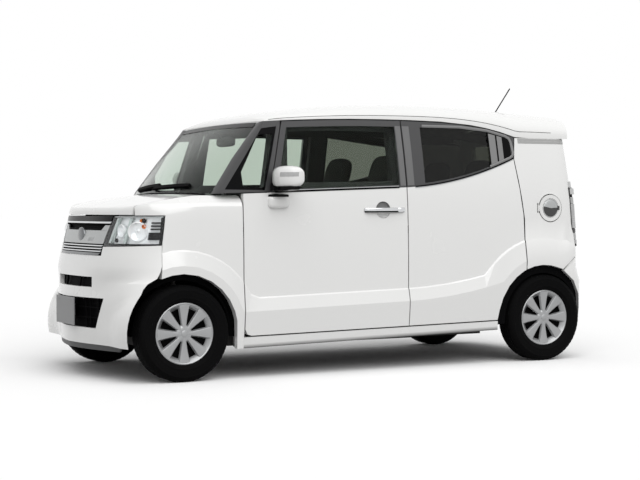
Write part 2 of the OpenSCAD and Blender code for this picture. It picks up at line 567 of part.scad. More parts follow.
module tailgate_glass() color("dimgray") {
    inset = function(v, lo, hi) v == lo ? seat_gap : v == hi ? -seat_gap : 0;
    pt = function(i, j, set) gate_pt(gate_zs[i] + inset(i, 6, 8), gate_ys[j] + inset(j, 7,
        2) / gate_half_w, set);
    slab([for (i = [6 : 8]) [for (j = [2 : 7]) pt(i, j, 5)]],
        [for (i = [6 : 8]) [for (j = [2 : 7]) pt(i, j, 5 + glass_t)]]);
}

// Front bumper: columns from the right arch round the nose to the left arch, rows run up
bumper_fs = [0, 0.1, 0.22, 0.36, 0.5, 0.6, 0.7, 0.85, 1];
low_open_z = [299, 477];
slot_z = [538, 598];
slot_half = 292;
face_low_z = 722;
bumper_zs = [205, 250, low_open_z[0], 345, 390, 434, low_open_z[1], 508, slot_z[0], 568, slot_z[1], 634, 665,
    face_low_z, 770];
bumper_top = len(bumper_zs) - 1;
function low_bow(y) = 80 * pow(abs(y) / 415, 1.6);
function nose_a(x, z) = asin(pow(nose_k(x, z), nose_n / 2));
function upper_nose(a, z) = [nose_s + (nose_x(z) - nose_s) * pow(sin(a), 2 / nose_n),
    half_w(z) * pow(cos(a), 2 / nose_n)];
function arch_edge_x(z) = arch_f_x + sqrt(max(0, arch_r * arch_r - pow(z - axle_z, 2)));
function bumper_xy(f, z) =
    let (blend = ease((z - 480) / 190), x0 = z < 603 ? arch_edge_x(z) : fender_front_x(z))
    let (a = lerp(nose_a(x0, z), 90, f), n = upper_nose(a, z), up = [n[0], n[1] + flare(n[0],
        z) * (1 - unit(f / 0.36))])
    let (slant = f == bumper_fs[4] && z < 520 ? lerp(0.04, -0.08, unit((z - 299) / 178)) : 0)
    let (y_low = (body_w / 2 - 18) * (1 - f - slant), edge = arch_edge_x(z) + 18 * unit(f / 0.1))
    lerp([max(nose_x(z) - low_bow(y_low), edge), y_low], up, blend);
function bumper_pt(i, f, side) =
    let (z = bumper_zs[i] + (i == bumper_top ? 14 * (1 - f) : 0), slot = z >= slot_z[0] && z <= slot_z[1])
    let (p = slot && f == bumper_fs[6] ? [face_pt(slot_half, z, 0)[0], slot_half] : bumper_xy(f, z))
    [p[0], side * p[1], z];
bumper_cols = concat([for (f = bumper_fs) [f, -1]], [for (k = [7 : -1 : 0]) [bumper_fs[k], 1]]);
function bumper_in(i, c) = let (w = ease(c[0] / 0.6))
    bumper_pt(i, c[0], c[1]) - [panel_t * w, panel_t * (1 - w) * c[1], 0];
module front_bumper() color("white") slab(
    [for (i = [0 : bumper_top]) [for (c = bumper_cols) bumper_pt(i, c[0], c[1])]],
    [for (i = [0 : bumper_top]) [for (c = bumper_cols) bumper_in(i, c)]],
    function(i, j) let (k = min(j, 15 - j), z = (bumper_zs[i] + bumper_zs[i + 1]) / 2)
        !(k >= 4 && z > low_open_z[0] && z < low_open_z[1])
        && !(k >= 6 && ((z > slot_z[0] && z < slot_z[1]) || z > face_low_z)));

// Grille: panels behind the bumper openings and the bars between the headlamps
function face_pt(y, z, set) =
    let (up = nose_s + (nose_x(z) - nose_s) * pow(1 - pow(abs(y) / half_w(z), nose_n), 1 / nose_n))
    let (x = lerp(nose_x(z) - low_bow(y), up, ease((z - 480) / 190))) [x - set, y, z];
module face_bar(w0, w1, z0, z1, set, t) {
    fs = [for (k = [0 : 8]) k / 4 - 1];
    slab([for (i = [0, 1]) [for (f = fs) face_pt(f * [w0, w1][i], [z0, z1][i], set)]],
        [for (i = [0, 1]) [for (f = fs) face_pt(f * [w0, w1][i], [z0, z1][i], set + t)]]);
}
grille_bars = [
    [345, 350, 727, 742, 4], [345, 350, 752, 764, 6], [350, 352, 772, 782, 6], [356, 376, 796, 880, 10],
    [372, 398, 905, 944, 2]
];
mesh_z = [285, 490];
module grille() color("dimgray") {
    face_bar(336, 388, face_low_z + seat_gap, 944, 24, 22);
    for (b = grille_bars) face_bar(b[0], b[1], b[2], b[3], b[4], 32 - b[4] - seat_gap + 1);
    face_bar(400, 440, mesh_z[0], mesh_z[1], panel_t + seat_gap, 16);
    face_bar(340, 340, 530, 606, panel_t + seat_gap + 2, 13);
    face_bar(420, 450, 182, bumper_zs[0] - seat_gap, 26, 40);
}

// Headlamps wrap the front corners between the grille and the fender
lamp_fs = [0, 0.12, 0.26, 0.4, 0.55, 0.7, 0.85, 1];
lamp_zs = [lamp_low_z, 820, 885, 930, lamp_top_z];
function lamp_pt(i, k, set) =
    let (z = lamp_zs[i] + (i == 0 ? 9 * lamp_fs[k] + 2 : 0), y_in = lerp(356, 404,
        (z - lamp_low_z) / 178) + 4)
    let (a_in = acos(pow(y_in / half_w(z), nose_n / 2)),
        a_out = nose_a(fender_front_x(z) - seam_gap + seat_gap, z))
    let (p = upper_nose(lerp(a_in, a_out, lamp_fs[k]), z), w = ease(lamp_fs[k]))
    [p[0] - set * (1 - w), p[1] - set * w, z];
module headlamps() color("gainsboro") left_and_right() slab(
    [for (i = [0 : 4]) [for (k = [0 : 7]) lamp_pt(i, k, 0)]],
    [for (i = [0 : 4]) [for (k = [0 : 7]) lamp_pt(i, k, 46)]]);

// Rear bumper: from the left arch round the corner, under the tailgate and on to the right arch
rear_side_fs = [0, 0.3, 0.6, 0.82, 1];
rear_back_fs = [0.75, 0.4, 0];
rear_zs = [225, 262, 330, 420, gate_low_z - shut_gap];
function rear_start_x(z) = z < 592 ? arch_r_x - sqrt(arch_r * arch_r - pow(z - axle_z, 2))
    : axle_r - 134 - 105 * (z - 591) / 82;
function rear_a(z, f) = lerp(
    asin(pow(unit((tail_s - rear_start_x(z)) / (tail_s - tail_x(z))), tail_n / 2)),
    acos(pow((gate_half_w + shut_gap) / half_w(z), tail_n / 2)), f);
function tail_xy(a, z) = [lerp(tail_s, tail_x(z), pow(sin(a), 2 / tail_n)), half_w(z) * pow(cos(a),
    2 / tail_n)];
function rear_z(i, k) =
    let (top = quarter_low(tail_xy(rear_a(640, rear_side_fs[min(k, 4)]), 640)[0]) - seam_gap - 2)
    i < 5 ? rear_zs[i] : lerp(rear_zs[4], top, i == 5 ? 0.55 : 1);
function rear_pt(i, k, side) =
    let (z = rear_z(i, k), y = gate_half_w * rear_back_fs[max(0, k - 5)])
    let (p = tail_xy(k < 5 ? rear_a(z, rear_side_fs[k]) : acos(pow(y / half_w(z), tail_n / 2)), z))
    [p[0], side * (p[1] + flare(p[0], z)), z];
rear_ks = concat([for (k = [0 : 7]) [k, 1]], [for (k = [6 : -1 : 0]) [k, -1]]);
function rear_in(i, c) = let (w = ease(c[0] / 4)) rear_pt(i, c[0], c[1]) + [panel_t * w,
    -panel_t * (1 - w) * c[1], 0];
module rear_bumper() color("white") slab(
    [for (i = [0 : 6]) [for (c = rear_ks) rear_pt(i, c[0], c[1])]],
    [for (i = [0 : 6]) [for (c = rear_ks) rear_in(i, c)]],
    function(i, j) i < 4 || min(j, 13 - j) < 4);

// Blank plates with two bolt holes each
plate_hole_d = 210;
module plate(x, z, t) translate([x, 0, z]) difference() {
    translate([0, -165, -82.5]) cube([t, 330, 165]);
    for (s = [-1, 1]) translate([-1, s * plate_hole_d / 2, 62]) rotate([0, 90, 0]) cylinder(h = t + 2,
        r = 3.5);
}
module front_plate() color("gray") {
    plate(front_x - 4, 392, 4);
    back = lerp(nose_x(mesh_z[0]), nose_x(mesh_z[1]),
        (430 - mesh_z[0]) / (mesh_z[1] - mesh_z[0])) - panel_t;
    block([back - seat_gap + 0.3, front_x - 3], [-60, 60], [350, 430]);
}
module rear_plate() color("gray") plate(tail_x(640) - 4 - seat_gap, 700, 4);

// A box from its ranges along the three axes
module block(x, y, z) translate([x[0], y[0], z[0]]) cube([x[1] - x[0], y[1] - y[0], z[1] - z[0]]);

// Underbody: floor, cargo floor, firewall, rails and the suspension towers
floor_z = [222, 244];
cargo_z = [470, 490];
ball = [axle_f, kingpin_y, 196];
tower = [axle_f, kingpin_y - 88, 880];
wall_x = axle_f - 238;
riser_x = axle_r + 410;
// The hood lies on two stops on the front cross member
stop_y = 240;
module along_kingpin(z) translate(lerp(ball, tower, (z - ball[2]) / (tower[2] - ball[2])))
    rotate([atan((ball[1] - tower[1]) / (tower[2] - ball[2])), 0, 0]) children();
module underbody() color("dimgray") {
    cowl_z = hood_z(hood_rear_x, 0) - 28 - seat_gap;
    difference() {
        union() {
            block([riser_x, wall_x - 97], [-560, 560], floor_z);
            block([wall_x - 98, wall_x + 16], [-392, 392], floor_z);
            block([rear_x + panel_t + seat_gap, riser_x + 16], [-90, 90], cargo_z);
            block([rear_x + 120, riser_x + 16], [-510, 510], cargo_z);
            block([riser_x, riser_x + 16], [-560, 560], [floor_z[0], cargo_z[1]]);
            block([wall_x, wall_x + 16], [-385, 385], [floor_z[0], cowl_z]);
            block([wall_x, wall_x + 16], [-560, 560], [640, cowl_z]);
            block([wall_x, hood_rear_x - 10], [-60, 60], [cowl_z - 16, cowl_z]);
            for (s = [-1, 1]) {
                block([wall_x - 107, wall_x - 97], s > 0 ? [380, 560] : [-560, -380], [floor_z[0], 650]);
                block([wall_x - 107, wall_x + 16], s > 0 ? [380, 392] : [-392, -380], [floor_z[0], 650]);
                block([wall_x - 107, wall_x + 16], s > 0 ? [380, 560] : [-560, -380], [638, 650]);
                block([wall_x, front_x - 210], s > 0 ? [300, 370] : [-370, -300], [430, 520]);
                block([wall_x, axle_f + 70], s > 0 ? [440, 560] : [-560, -440], [850, 890]);
                block([rear_x + 120, riser_x + 16], s > 0 ? [430, 490] : [-490, -430], [400, cargo_z[1]]);
                block([riser_x - 10, wall_x - 97], s > 0 ? [500, 560] : [-560, -500], [floor_z[0] - 40,
                    floor_z[0] + 10]);
            }
            block([front_x - 250, front_x - 210], [-370, 370], [430, 600]);
            for (y = [-stop_y, stop_y])
                block([front_x - 250, front_x - 220], [y - 15, y + 15], [590, hood_z(front_x - 220,
                    stop_y + 15) - lid_t / 2 - seat_gap]);
            block([front_x - 230, nose_x(606) - panel_t - 16 - 2 * seat_gap], [-60, 60], [588, 606]);
        }
        left_and_right() along_kingpin(820) cylinder(h = 100, r = 9.3);
    }
}

// Wheel liners: half rings with an inner wall, open round the axle and the strut
module liner(x, y0, y1, reach, slot_w) difference() {
    translate([x, y1, axle_z]) rotate([90, 0, 0]) difference() {
        cylinder(h = y1 - y0, r = arch_r - 6);
        translate([0, 0, -1]) cylinder(h = y1 - y0 - 7, r = arch_r - 11);
    }
    translate([x - 1.2 * arch_r, y0 - 1, axle_z - 378.5]) cube([2.4 * arch_r, y1 - y0 + 2, 350]);
    for (s = [-1, 1])
        translate([x + s * (reach + arch_r / 2) - arch_r / 2, y0 - 1, 0]) cube([arch_r, y1 - y0 + 2,
            3 * arch_r]);
    translate([x - slot_w - 12, y0 - 1, 0]) cube([2 * slot_w, y1 - y0 - 110, 700]);
}
module wheel_liners() color("black") left_and_right() {
    liner(arch_f_x, hub_y - 256 + seat_gap, hub_y + 28, arch_r - 27, 60);
    liner(arch_r_x, hub_y - 138 + seat_gap, hub_y - 14, arch_r - 35, 60);
}

// Cabin frame: middle posts and roof rails inside the doors, with the hinge ears
module cabin_frame() color("dimgray") left_and_right() {
    xs = [door_x0 - 300, pillar_x + 50, pillar_x - 60, door_x1 + 20];
    zs = function(i, x) [sill_top(x) + seat_gap, 700, belt_z, gutter(x) - 62, gutter(x) - 12][i];
    in_y = door_t + 36;
    slab([for (i = [0 : 4]) [for (x = xs) skin_in(x, zs(i, x), in_y)]],
        [for (i = [0 : 4]) [for (x = xs) skin_in(x, zs(i, x), in_y + 36)]],
        function(i, j) i == 3 || j == 1);
    for (z = hinge_zs) hinge_ear(rear_hinge_x, z, half_w(z) - in_y - 20);
}

// Dashboard with the steering column on the right
dash_half = side_w - 123.5;
steer_y = 383.5 - side_w;
steer_c = [axle_f - 720, steer_y, 955];
steer_tilt = 24;
module along_column() translate(steer_c) rotate([0, 90 + steer_tilt, 0]) children();
module dashboard() color("dimgray") {
    difference() {
        translate([0, dash_half, 0]) rotate([90, 0, 0]) linear_extrude(2 * dash_half) polygon([
            [wall_x - seat_gap, 660], [wall_x - seat_gap, 1050], [wall_x - 60, 1066], [wall_x - 260, 1052],
            [wall_x - 330, 1010], [wall_x - 330, 900], [wall_x - 270, 760], [wall_x - 200, 660]]);
        translate([wall_x - 345, -440, 740]) cube([60, 220, 210]);
    }
    along_column() translate([0, 0, 30]) cylinder(h = 300, r = 30);
    along_column() translate([0, 0, -14]) cylinder(h = 60, r = 10);
    for (s = [-1, 1], z = hinge_zs)
        scale_y(s) hinge_ear(front_hinge_x, z, z > 640 ? 560 : 520);
    post_z = max(floor_z[1], sill_top(front_hinge_x - 40)) + seat_gap;
    for (s = [-1, 1]) scale_y(s) block([front_hinge_x - 40, front_hinge_x + 40], [500, 590], [post_z,
        1000]);
}
module scale_y(s) {
    if (s > 0) children();
    else mirror([0, 1, 0]) children();
}
module steering_wheel() color("black") along_column() difference() {
    union() {
        rotate_extrude() translate([steer_r, 0]) circle(r = 14);
        translate([0, 0, -22]) cylinder(h = 46, r = 52);
        for (a = [0, 120, 240]) rotate([0, 0, a + 180]) translate([0, -16, -6]) cube([steer_r - 8, 32, 12]);
    }
    translate([0, 0, -15]) cylinder(h = 60, r = 10.3);
}

// Seats: cushions, backs and head rests on bases
module seat(x, y0, y1, z, base_z, back_h) {
    block([x - 40, x + 380], [y0 + 20, y1 - 20], [base_z + seat_gap, z]);
    block([x - 60, x + 440], [y0, y1], [z - 1, z + 130]);
    translate([x - 40, y0, z + 60]) rotate([0, -16, 0]) block([-100, 30], [0, y1 - y0], [30, back_h]);
    translate([x - 40, (y0 + y1) / 2, z + 60]) rotate([0, -16, 0]) {
        block([-80, 10], [-120, 120], [back_h + 30, back_h + 190]);
        for (s = [-60, 60]) translate([-35, s, back_h - 10]) cylinder(h = 60, r = 7);
    }
}
module front_seats() color("tan") for (s = [-1, 1])
    scale_y(s) seat(pillar_x + 230, 60, 550, 430, floor_z[1], 560);
module rear_seat() color("tan") for (s = [-1, 1])
    scale_y(s) seat(riser_x + 90, 8, 520, 430, floor_z[1], 540);

// Heavy masses and the gear below the floor
module engine_block() color("gray") {
    block([axle_f - 190, axle_f + 190], [-270, 280], [300, 800]);
    for (x = [axle_f - 150, axle_f + 60], y = [-200, 140]) block([x, x + 60], [y, y + 60],
        [230 + seat_gap, 301]);
}
module front_suspension() color("dimgray") {
    block([axle_f - 190, axle_f + 150], [-330, 330], [186, 230]);
    for (s = [-1, 1]) scale_y(s) {
        block([axle_f - 100, axle_f - 40], [305, 330], [229, 430 - seat_gap]);
        block([axle_f - 34, axle_f + 34], [320, kingpin_y + 26], [160, 186]);
        block([axle_f - 34, axle_f + 34], [300, 340], [160, 200]);
        along_kingpin(172) cylinder(h = 58, r = 9);
    }
}
module knuckle_left() color("dimgray") difference() {
    union() {
        translate([axle_f - 34, kingpin_y - 36, 206]) cube([68, 50, 200]);
        translate([axle_f, kingpin_y - 30, axle_z]) rotate([-90, 0, 0])
            cylinder(h = hub_y - kingpin_y + 42, r = spindle_r);
        along_kingpin(380) cylinder(h = 440, r = 13);
        along_kingpin(800) cylinder(h = 80, r = 9);
    }
    along_kingpin(160) cylinder(h = 82, r = 9.3);
}
module knuckle_right() mirror([0, 1, 0]) knuckle_left();
module rear_axle() color("dimgray") {
    translate([axle_r + 70, -460, axle_z]) rotate([-90, 0, 0]) cylinder(h = 920, r = 36);
    for (s = [-1, 1]) scale_y(s) {
        block([axle_r - 40, axle_r + 360], [450, 500], [axle_z - 26, axle_z + 26]);
        block([axle_r + 300, axle_r + 360], [450, 490], [axle_z, 400 - seat_gap]);
        translate([axle_r, 480, axle_z]) rotate([-90, 0, 0]) cylinder(h = hub_y - 480 + 12, r = spindle_r);
        translate([axle_r + 150, 462, axle_z + 20]) cylinder(h = 400 - seat_gap - axle_z - 20, r = 28);
    }
}
module exhaust() color("silver") {
    translate([axle_f - 250, -220, 196]) rotate([0, -90, 0]) cylinder(h = axle_f - 250 - riser_x + 60,
        r = 21);
    translate([riser_x - 50, -220, 180]) cylinder(h = 186, r = 21);
    translate([riser_x - 40, -220, 350]) rotate([0, -90, 0]) cylinder(h = riser_x - 40 - rear_x - 200,
        r = 21);
    translate([rear_x + 330, -220, 350]) rotate([0, -90, 0]) cylinder(h = 190, r = 80);
    block([rear_x + 200, rear_x + 260], [-240, -200], [400, cargo_z[0] - seat_gap]);
    for (x = [axle_f - 400, pillar_x + 100]) block([x, x + 30], [-235, -205], [205, floor_z[0] - seat_gap]);
}
module fuel_tank() color("dimgray") block([pillar_x - 180, pillar_x + 420], [-120, 440], [165,
    floor_z[0] - seat_gap]);
module antenna() color("black") {
    x = axle_r - 94;
    translate([x, 0, crown_z(x + 16) + seat_gap]) {
        cylinder(h = 16, r = 16);
        translate([0, 0, 8]) rotate([0, -36, 0]) cylinder(h = 222, r = 4);
    }
}
module wipers() color("black") for (k = [[0.62, -0.1], [-0.02, -0.74]]) {
    n = [0.62, 0, 0.78];
    fs = [for (i = [0 : 6]) lerp(k[1], k[0], i / 6)];
    row = function(f, v) screen_pt(v + 0.05 * (f - k[1]), f);
    slab([for (v = [0.03, 0.07]) [for (f = fs) row(f, v) + 16 * n]],
        [for (v = [0.03, 0.07]) [for (f = fs) row(f, v) + 0.6 * n]]);
}

// Wheels: a tyre on a rim with a windowed cover and a hub bored for the spindle
module tyre() rotate([-90, 0, 0]) rotate_extrude() polygon([
    [rim_r, -tyre_w / 2 + 14], [rim_r + 14, -tyre_w / 2 + 5], [rim_r + 45, -tyre_w / 2], [rim_r + 70,
        -tyre_w / 2 + 2],
    [tyre_r - 13, -tyre_w / 2 + 8], [tyre_r - 4, -tyre_w / 2 + 17], [tyre_r, -tyre_w / 2 + 30],
    [tyre_r, tyre_w / 2 - 30], [tyre_r - 4, tyre_w / 2 - 17], [tyre_r - 13, tyre_w / 2 - 8],
    [rim_r + 70, tyre_w / 2 - 2], [rim_r + 45, tyre_w / 2], [rim_r + 14, tyre_w / 2 - 5], [rim_r,
        tyre_w / 2 - 14]]);
module wheel() rotate([-90, 0, 0]) difference() {
    union() {
        rotate_extrude() polygon([[rim_r - seat_gap, -tyre_w / 2 + 16], [rim_r - seat_gap, tyre_w / 2 - 16],
            [rim_r - 10, tyre_w / 2 - 14], [rim_r - 14, tyre_w / 2 - 22], [rim_r - 14, -tyre_w / 2 + 16]]);
        rotate_extrude() polygon([[0, 34], [0, 54], [50, 56], [110, 60], [rim_r - 13, tyre_w / 2 - 16],
            [rim_r - 13, 48], [110, 46], [50, 40]]);
        translate([0, 0, -8]) cylinder(h = 50, r = 36);
        translate([0, 0, -4]) cylinder(h = 12, r = 112);
    }
    for (k = [0 : cover_windows - 1]) rotate([0, 0, (k + 0.5) * 360 / cover_windows]) translate([0, 0, 30])
        linear_extrude(60) polygon([[78, -7], [88, -15], [140, -32], [154, -26], [158, 0], [154, 26],
            [140, 32],
            [88, 15], [78, 7]]);
    translate([0, 0, -20]) cylinder(h = 46, r = spindle_r + 0.3);
}
module tyre_front_left() color("black") translate([axle_f, hub_y, axle_z]) tyre();
module tyre_front_right() mirror([0, 1, 0]) tyre_front_left();
module tyre_rear_left() color("black") translate([axle_r, hub_y, axle_z]) tyre();
module tyre_rear_right() mirror([0, 1, 0]) tyre_rear_left();
module wheel_front_left() color("silver") translate([axle_f, hub_y, axle_z]) wheel();
module wheel_front_right() mirror([0, 1, 0]) wheel_front_left();
module wheel_rear_left() color("silver") translate([axle_r, hub_y, axle_z]) wheel();
module wheel_rear_right() mirror([0, 1, 0]) wheel_rear_left();

// Each sub-part by its node name
underbody();
wheel_liners();
side_sills();
cabin_frame();
windscreen_posts();
roof();
front_fender_left();
front_fender_right();
rear_quarter_left();
rear_quarter_right();
front_bumper();
rear_bumper();
grille();
headlamps();
tail_lamps();
cowl();
fixed_glass();
front_plate();
dashboard();
front_seats();
rear_seat();
engine_block();
front_suspension();
rear_axle();
exhaust();
fuel_tank();
antenna();
wipers();
hood();
tailgate();
tailgate_glass();
rear_plate();
fuel_flap();
steering_wheel();
knuckle_left();
knuckle_right();
tyre_front_left();
tyre_front_right();
tyre_rear_left();
tyre_rear_right();
wheel_front_left();
wheel_front_right();
wheel_rear_left();
wheel_rear_right();
front_door_left();
front_door_right();
rear_door_left();
rear_door_right();
front_door_glass_left();
front_door_glass_right();
rear_door_glass_left();
rear_door_glass_right();
mirror_left();
mirror_right();
door_handle_left();
door_handle_right();
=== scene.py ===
# %% [markdown]
# # A tall white city car, dressed for a studio picture
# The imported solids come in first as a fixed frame, in metres: +X is forward, +Y the car's left, +Z up.
# Each later piece is set on those solids and rides on one of their bodies, so doors, lids and wheels
# still move.

# %% Load the solids and keep their box
import math

import bmesh
import bpy
from mathutils import Matrix, Vector


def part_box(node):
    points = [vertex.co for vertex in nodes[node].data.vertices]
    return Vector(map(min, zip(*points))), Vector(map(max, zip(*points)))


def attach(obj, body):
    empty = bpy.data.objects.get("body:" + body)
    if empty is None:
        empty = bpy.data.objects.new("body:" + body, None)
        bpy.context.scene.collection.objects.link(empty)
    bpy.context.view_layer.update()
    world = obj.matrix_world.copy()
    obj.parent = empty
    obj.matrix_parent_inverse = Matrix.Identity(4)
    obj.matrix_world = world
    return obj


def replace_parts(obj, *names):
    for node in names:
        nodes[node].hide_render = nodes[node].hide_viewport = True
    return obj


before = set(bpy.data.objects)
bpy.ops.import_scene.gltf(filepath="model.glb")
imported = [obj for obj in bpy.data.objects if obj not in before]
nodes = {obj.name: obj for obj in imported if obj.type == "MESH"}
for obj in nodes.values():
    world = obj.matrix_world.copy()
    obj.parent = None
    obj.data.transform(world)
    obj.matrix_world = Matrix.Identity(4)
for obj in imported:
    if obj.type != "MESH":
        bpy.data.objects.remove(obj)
scene = bpy.context.scene
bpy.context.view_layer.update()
MM = 0.001

# %% [markdown]
# ## The camera
# The picture was taken with a long lens from the front left, at about the height of the lamps.
# The eye point and the three angles were fitted to points that can be seen in the picture, such as wheel
# centres and window corners. The focal length is given in picture points and becomes a lens length
# through the sensor width.

# %% Camera
IMAGE_W = 640
FOCAL_POINTS = 1517
SENSOR_MM = 36
EYE = Vector((4.577, 8.726, 1.009))
yaw, pitch, roll = (math.radians(angle) for angle in (27.82, 1.30, -0.19))
ahead = Vector((-math.sin(yaw) * math.cos(pitch), -math.cos(yaw) * math.cos(pitch), -math.sin(pitch)))
level = ahead.cross(Vector((0, 0, 1))).normalized()
upward = level.cross(ahead)
side = math.cos(roll) * level + math.sin(roll) * upward
top = math.cos(roll) * upward - math.sin(roll) * level

camera = bpy.data.objects.new("camera", bpy.data.cameras.new("camera"))
scene.collection.objects.link(camera)
camera.data.sensor_width = SENSOR_MM
camera.data.lens = FOCAL_POINTS / IMAGE_W * SENSOR_MM
camera.matrix_world = Matrix.Translation(EYE) @ Matrix((side, top, -ahead)).transposed().to_4x4()
scene.camera = camera
print("lens:", round(camera.data.lens, 2), "mm")

# %% [markdown]
# ## Small helpers for node trees
# Materials and Geometry Nodes are both built from nodes and links. A few short helpers keep that
# readable: they add a node, link or set a socket, do a sum, blend two inputs, and start a new tree.

# %% Node helpers
def add(tree, kind, **settings):
    node = tree.nodes.new(kind)
    for key, value in settings.items():
        setattr(node, key, value)
    return node


def plug(tree, socket, value):
    if isinstance(value, bpy.types.NodeSocket):
        tree.links.new(value, socket)
    else:
        socket.default_value = value


def sums(tree, operation, first, second, clamp=False):
    node = add(tree, "ShaderNodeMath", operation=operation, use_clamp=clamp)
    plug(tree, node.inputs[0], first)
    plug(tree, node.inputs[1], second)
    return node.outputs[0]


def blend(tree, factor, first, second, kind="RGBA"):
    a, b, result = (6, 7, 2) if kind == "RGBA" else (2, 3, 0)
    node = add(tree, "ShaderNodeMix", data_type=kind)
    plug(tree, node.inputs["Factor"], factor)
    plug(tree, node.inputs[a], first)
    plug(tree, node.inputs[b], second)
    return node.outputs[result]


def new_tree(name, kind, inputs, outputs):
    tree = bpy.data.node_groups.new(name, kind)
    keys = {}
    for in_out, rows in (("INPUT", inputs), ("OUTPUT", outputs)):
        for label, socket in rows:
            made = tree.interface.new_socket(label, in_out=in_out, socket_type="NodeSocket" + socket)
            keys[label] = made.identifier
    return tree, add(tree, "NodeGroupInput"), add(tree, "NodeGroupOutput"), keys


print("node helpers ready")

# %% [markdown]
# ## Floor, sky and sun
# A studio picture of a white car needs a white surround that still lets the car throw a shadow.
# The floor is plain and pale: seen straight on, in gloss or through glass it is full white, and for
# bounced light darker, so that the car's lower half keeps some tone. The sky is an even dome, and a very
# soft sun gives the top surfaces their light and the sides a gentle slope of tone.

# %% Floor
WHITE = (1.0, 1.0, 1.0, 1.0)
FLOOR_BOUNCE = (0.33, 0.33, 0.33, 1.0)
FLOOR_HALF = 120.0


def seen_directly(tree):
    light = add(tree, "ShaderNodeLightPath")
    seen = sums(tree, "MAXIMUM", light.outputs["Is Camera Ray"], light.outputs["Is Glossy Ray"])
    return sums(tree, "MAXIMUM", seen, light.outputs["Is Transmission Ray"])


floor_mesh = bpy.data.meshes.new("floor")
corners = [(sx * FLOOR_HALF, sy * FLOOR_HALF, 0) for sx, sy in ((-1, -1), (1, -1), (1, 1), (-1, 1))]
floor_mesh.from_pydata(corners, [], [(0, 1, 2, 3)])
floor = bpy.data.objects.new("floor", floor_mesh)
scene.collection.objects.link(floor)
floor_paint = bpy.data.materials.new("studio_floor")
floor_paint.use_nodes = True
tree = floor_paint.node_tree
shader = tree.nodes["Principled BSDF"]
shader.inputs["Roughness"].default_value = 1.0
shader.inputs["Specular IOR Level"].default_value = 0.0
plug(tree, shader.inputs["Base Color"], blend(tree, seen_directly(tree), FLOOR_BOUNCE, WHITE))
floor_mesh.materials.append(floor_paint)
print("floor:", 2 * FLOOR_HALF, "m wide")

# %% Sky and sun
SKY_STRENGTH = 0.54
SUN_STRENGTH = 1.97
SUN_RUN = Vector((-0.12, -0.80, -0.92))
SUN_SOFTNESS = math.radians(70)
world = bpy.data.worlds.new("studio_sky")
scene.world = world
world.use_nodes = True
tree = world.node_tree
sky = tree.nodes["Background"]
plug(tree, sky.inputs["Color"], WHITE)
plug(tree, sky.inputs["Strength"], blend(tree, seen_directly(tree), SKY_STRENGTH, 1.0, "FLOAT"))
sun = bpy.data.objects.new("soft_sun", bpy.data.lights.new("soft_sun", "SUN"))
scene.collection.objects.link(sun)
sun.data.energy = SUN_STRENGTH
sun.data.angle = SUN_SOFTNESS
sun.rotation_euler = SUN_RUN.to_track_quat("-Z", "Y").to_euler()
scene.view_settings.view_transform = "Standard"
print("sky:", SKY_STRENGTH, "sun:", SUN_STRENGTH)

# %% [markdown]
# ## Surface effects shared by the finishes
# Real surfaces change a little from place to place. Three node groups give that change as plain values:
# a skin with fine relief and slow clouds of tone, a film of road dust that is thicker near the ground,
# and a weave. Groups only give values. Each material keeps its own shader, with its constants on the
# shader's sockets.

# %% Shared groups
FILM_REACH = 0.5


def noise(tree, place, scale, detail):
    node = add(tree, "ShaderNodeTexNoise")
    plug(tree, node.inputs["Vector"], place)
    plug(tree, node.inputs["Scale"], scale)
    node.inputs["Detail"].default_value = detail
    return node.outputs["Fac"]


skin_group, start, end, keys = new_tree(
    "surface_skin", "ShaderNodeTree", [("Place", "Vector"), ("Grain", "Float"), ("Cloud", "Float")],
    [("Height", "Float"), ("Tone", "Float")])
for result, scale, detail in (("Height", "Grain", 3.0), ("Tone", "Cloud", 4.0)):
    value = noise(skin_group, start.outputs["Place"], start.outputs[scale], detail)
    plug(skin_group, end.inputs[result], value)

film_group, start, end, keys = new_tree("road_film", "ShaderNodeTree", [("Place", "Vector")],
                                        [("Mask", "Float")])
heights = add(film_group, "ShaderNodeSeparateXYZ")
plug(film_group, heights.inputs[0], start.outputs["Place"])
low = sums(film_group, "DIVIDE", heights.outputs["Z"], FILM_REACH)
low = sums(film_group, "SUBTRACT", 1.0, low, clamp=True)
patches = noise(film_group, start.outputs["Place"], 26.0, 6.0)
plug(film_group, end.inputs["Mask"], sums(film_group, "MULTIPLY", low, patches, clamp=True))

weave_group, start, end, keys = new_tree("cloth_weave", "ShaderNodeTree",
                                         [("Place", "Vector"), ("Threads", "Float")], [("Height", "Float")])
waves = []
for direction in ("X", "Z"):
    wave = add(weave_group, "ShaderNodeTexWave", bands_direction=direction)
    plug(weave_group, wave.inputs["Vector"], start.outputs["Place"])
    plug(weave_group, wave.inputs["Scale"], start.outputs["Threads"])
    waves.append(wave.outputs["Fac"])
plug(weave_group, end.inputs["Height"], sums(weave_group, "MULTIPLY", *waves))
print("groups:", skin_group.name, film_group.name, weave_group.name)

# %% [markdown]
# ## Finishes
# One function makes each finish: a colour that drifts a little, a roughness that follows it, a fine
# relief and a share of road film. A finish may have layers, such as the dark window frame on a painted
# door. A layer is laid on by a mask that reads the place on the car, so that its edge is as sharp as a
# masked paint edge.

# %% Finish maker
DUST = (0.30, 0.28, 0.25, 1.0)
DUST_ROUGH = 0.9
ROUGH_DRIFT = 0.04
WEAVE_SHADE = 0.82
BUMP_HEIGHT = 0.002
COAT_ROUGH = 0.04


def shade(colour, factor):
    return tuple(min(1.0, part * factor) for part in colour) + (1.0,)


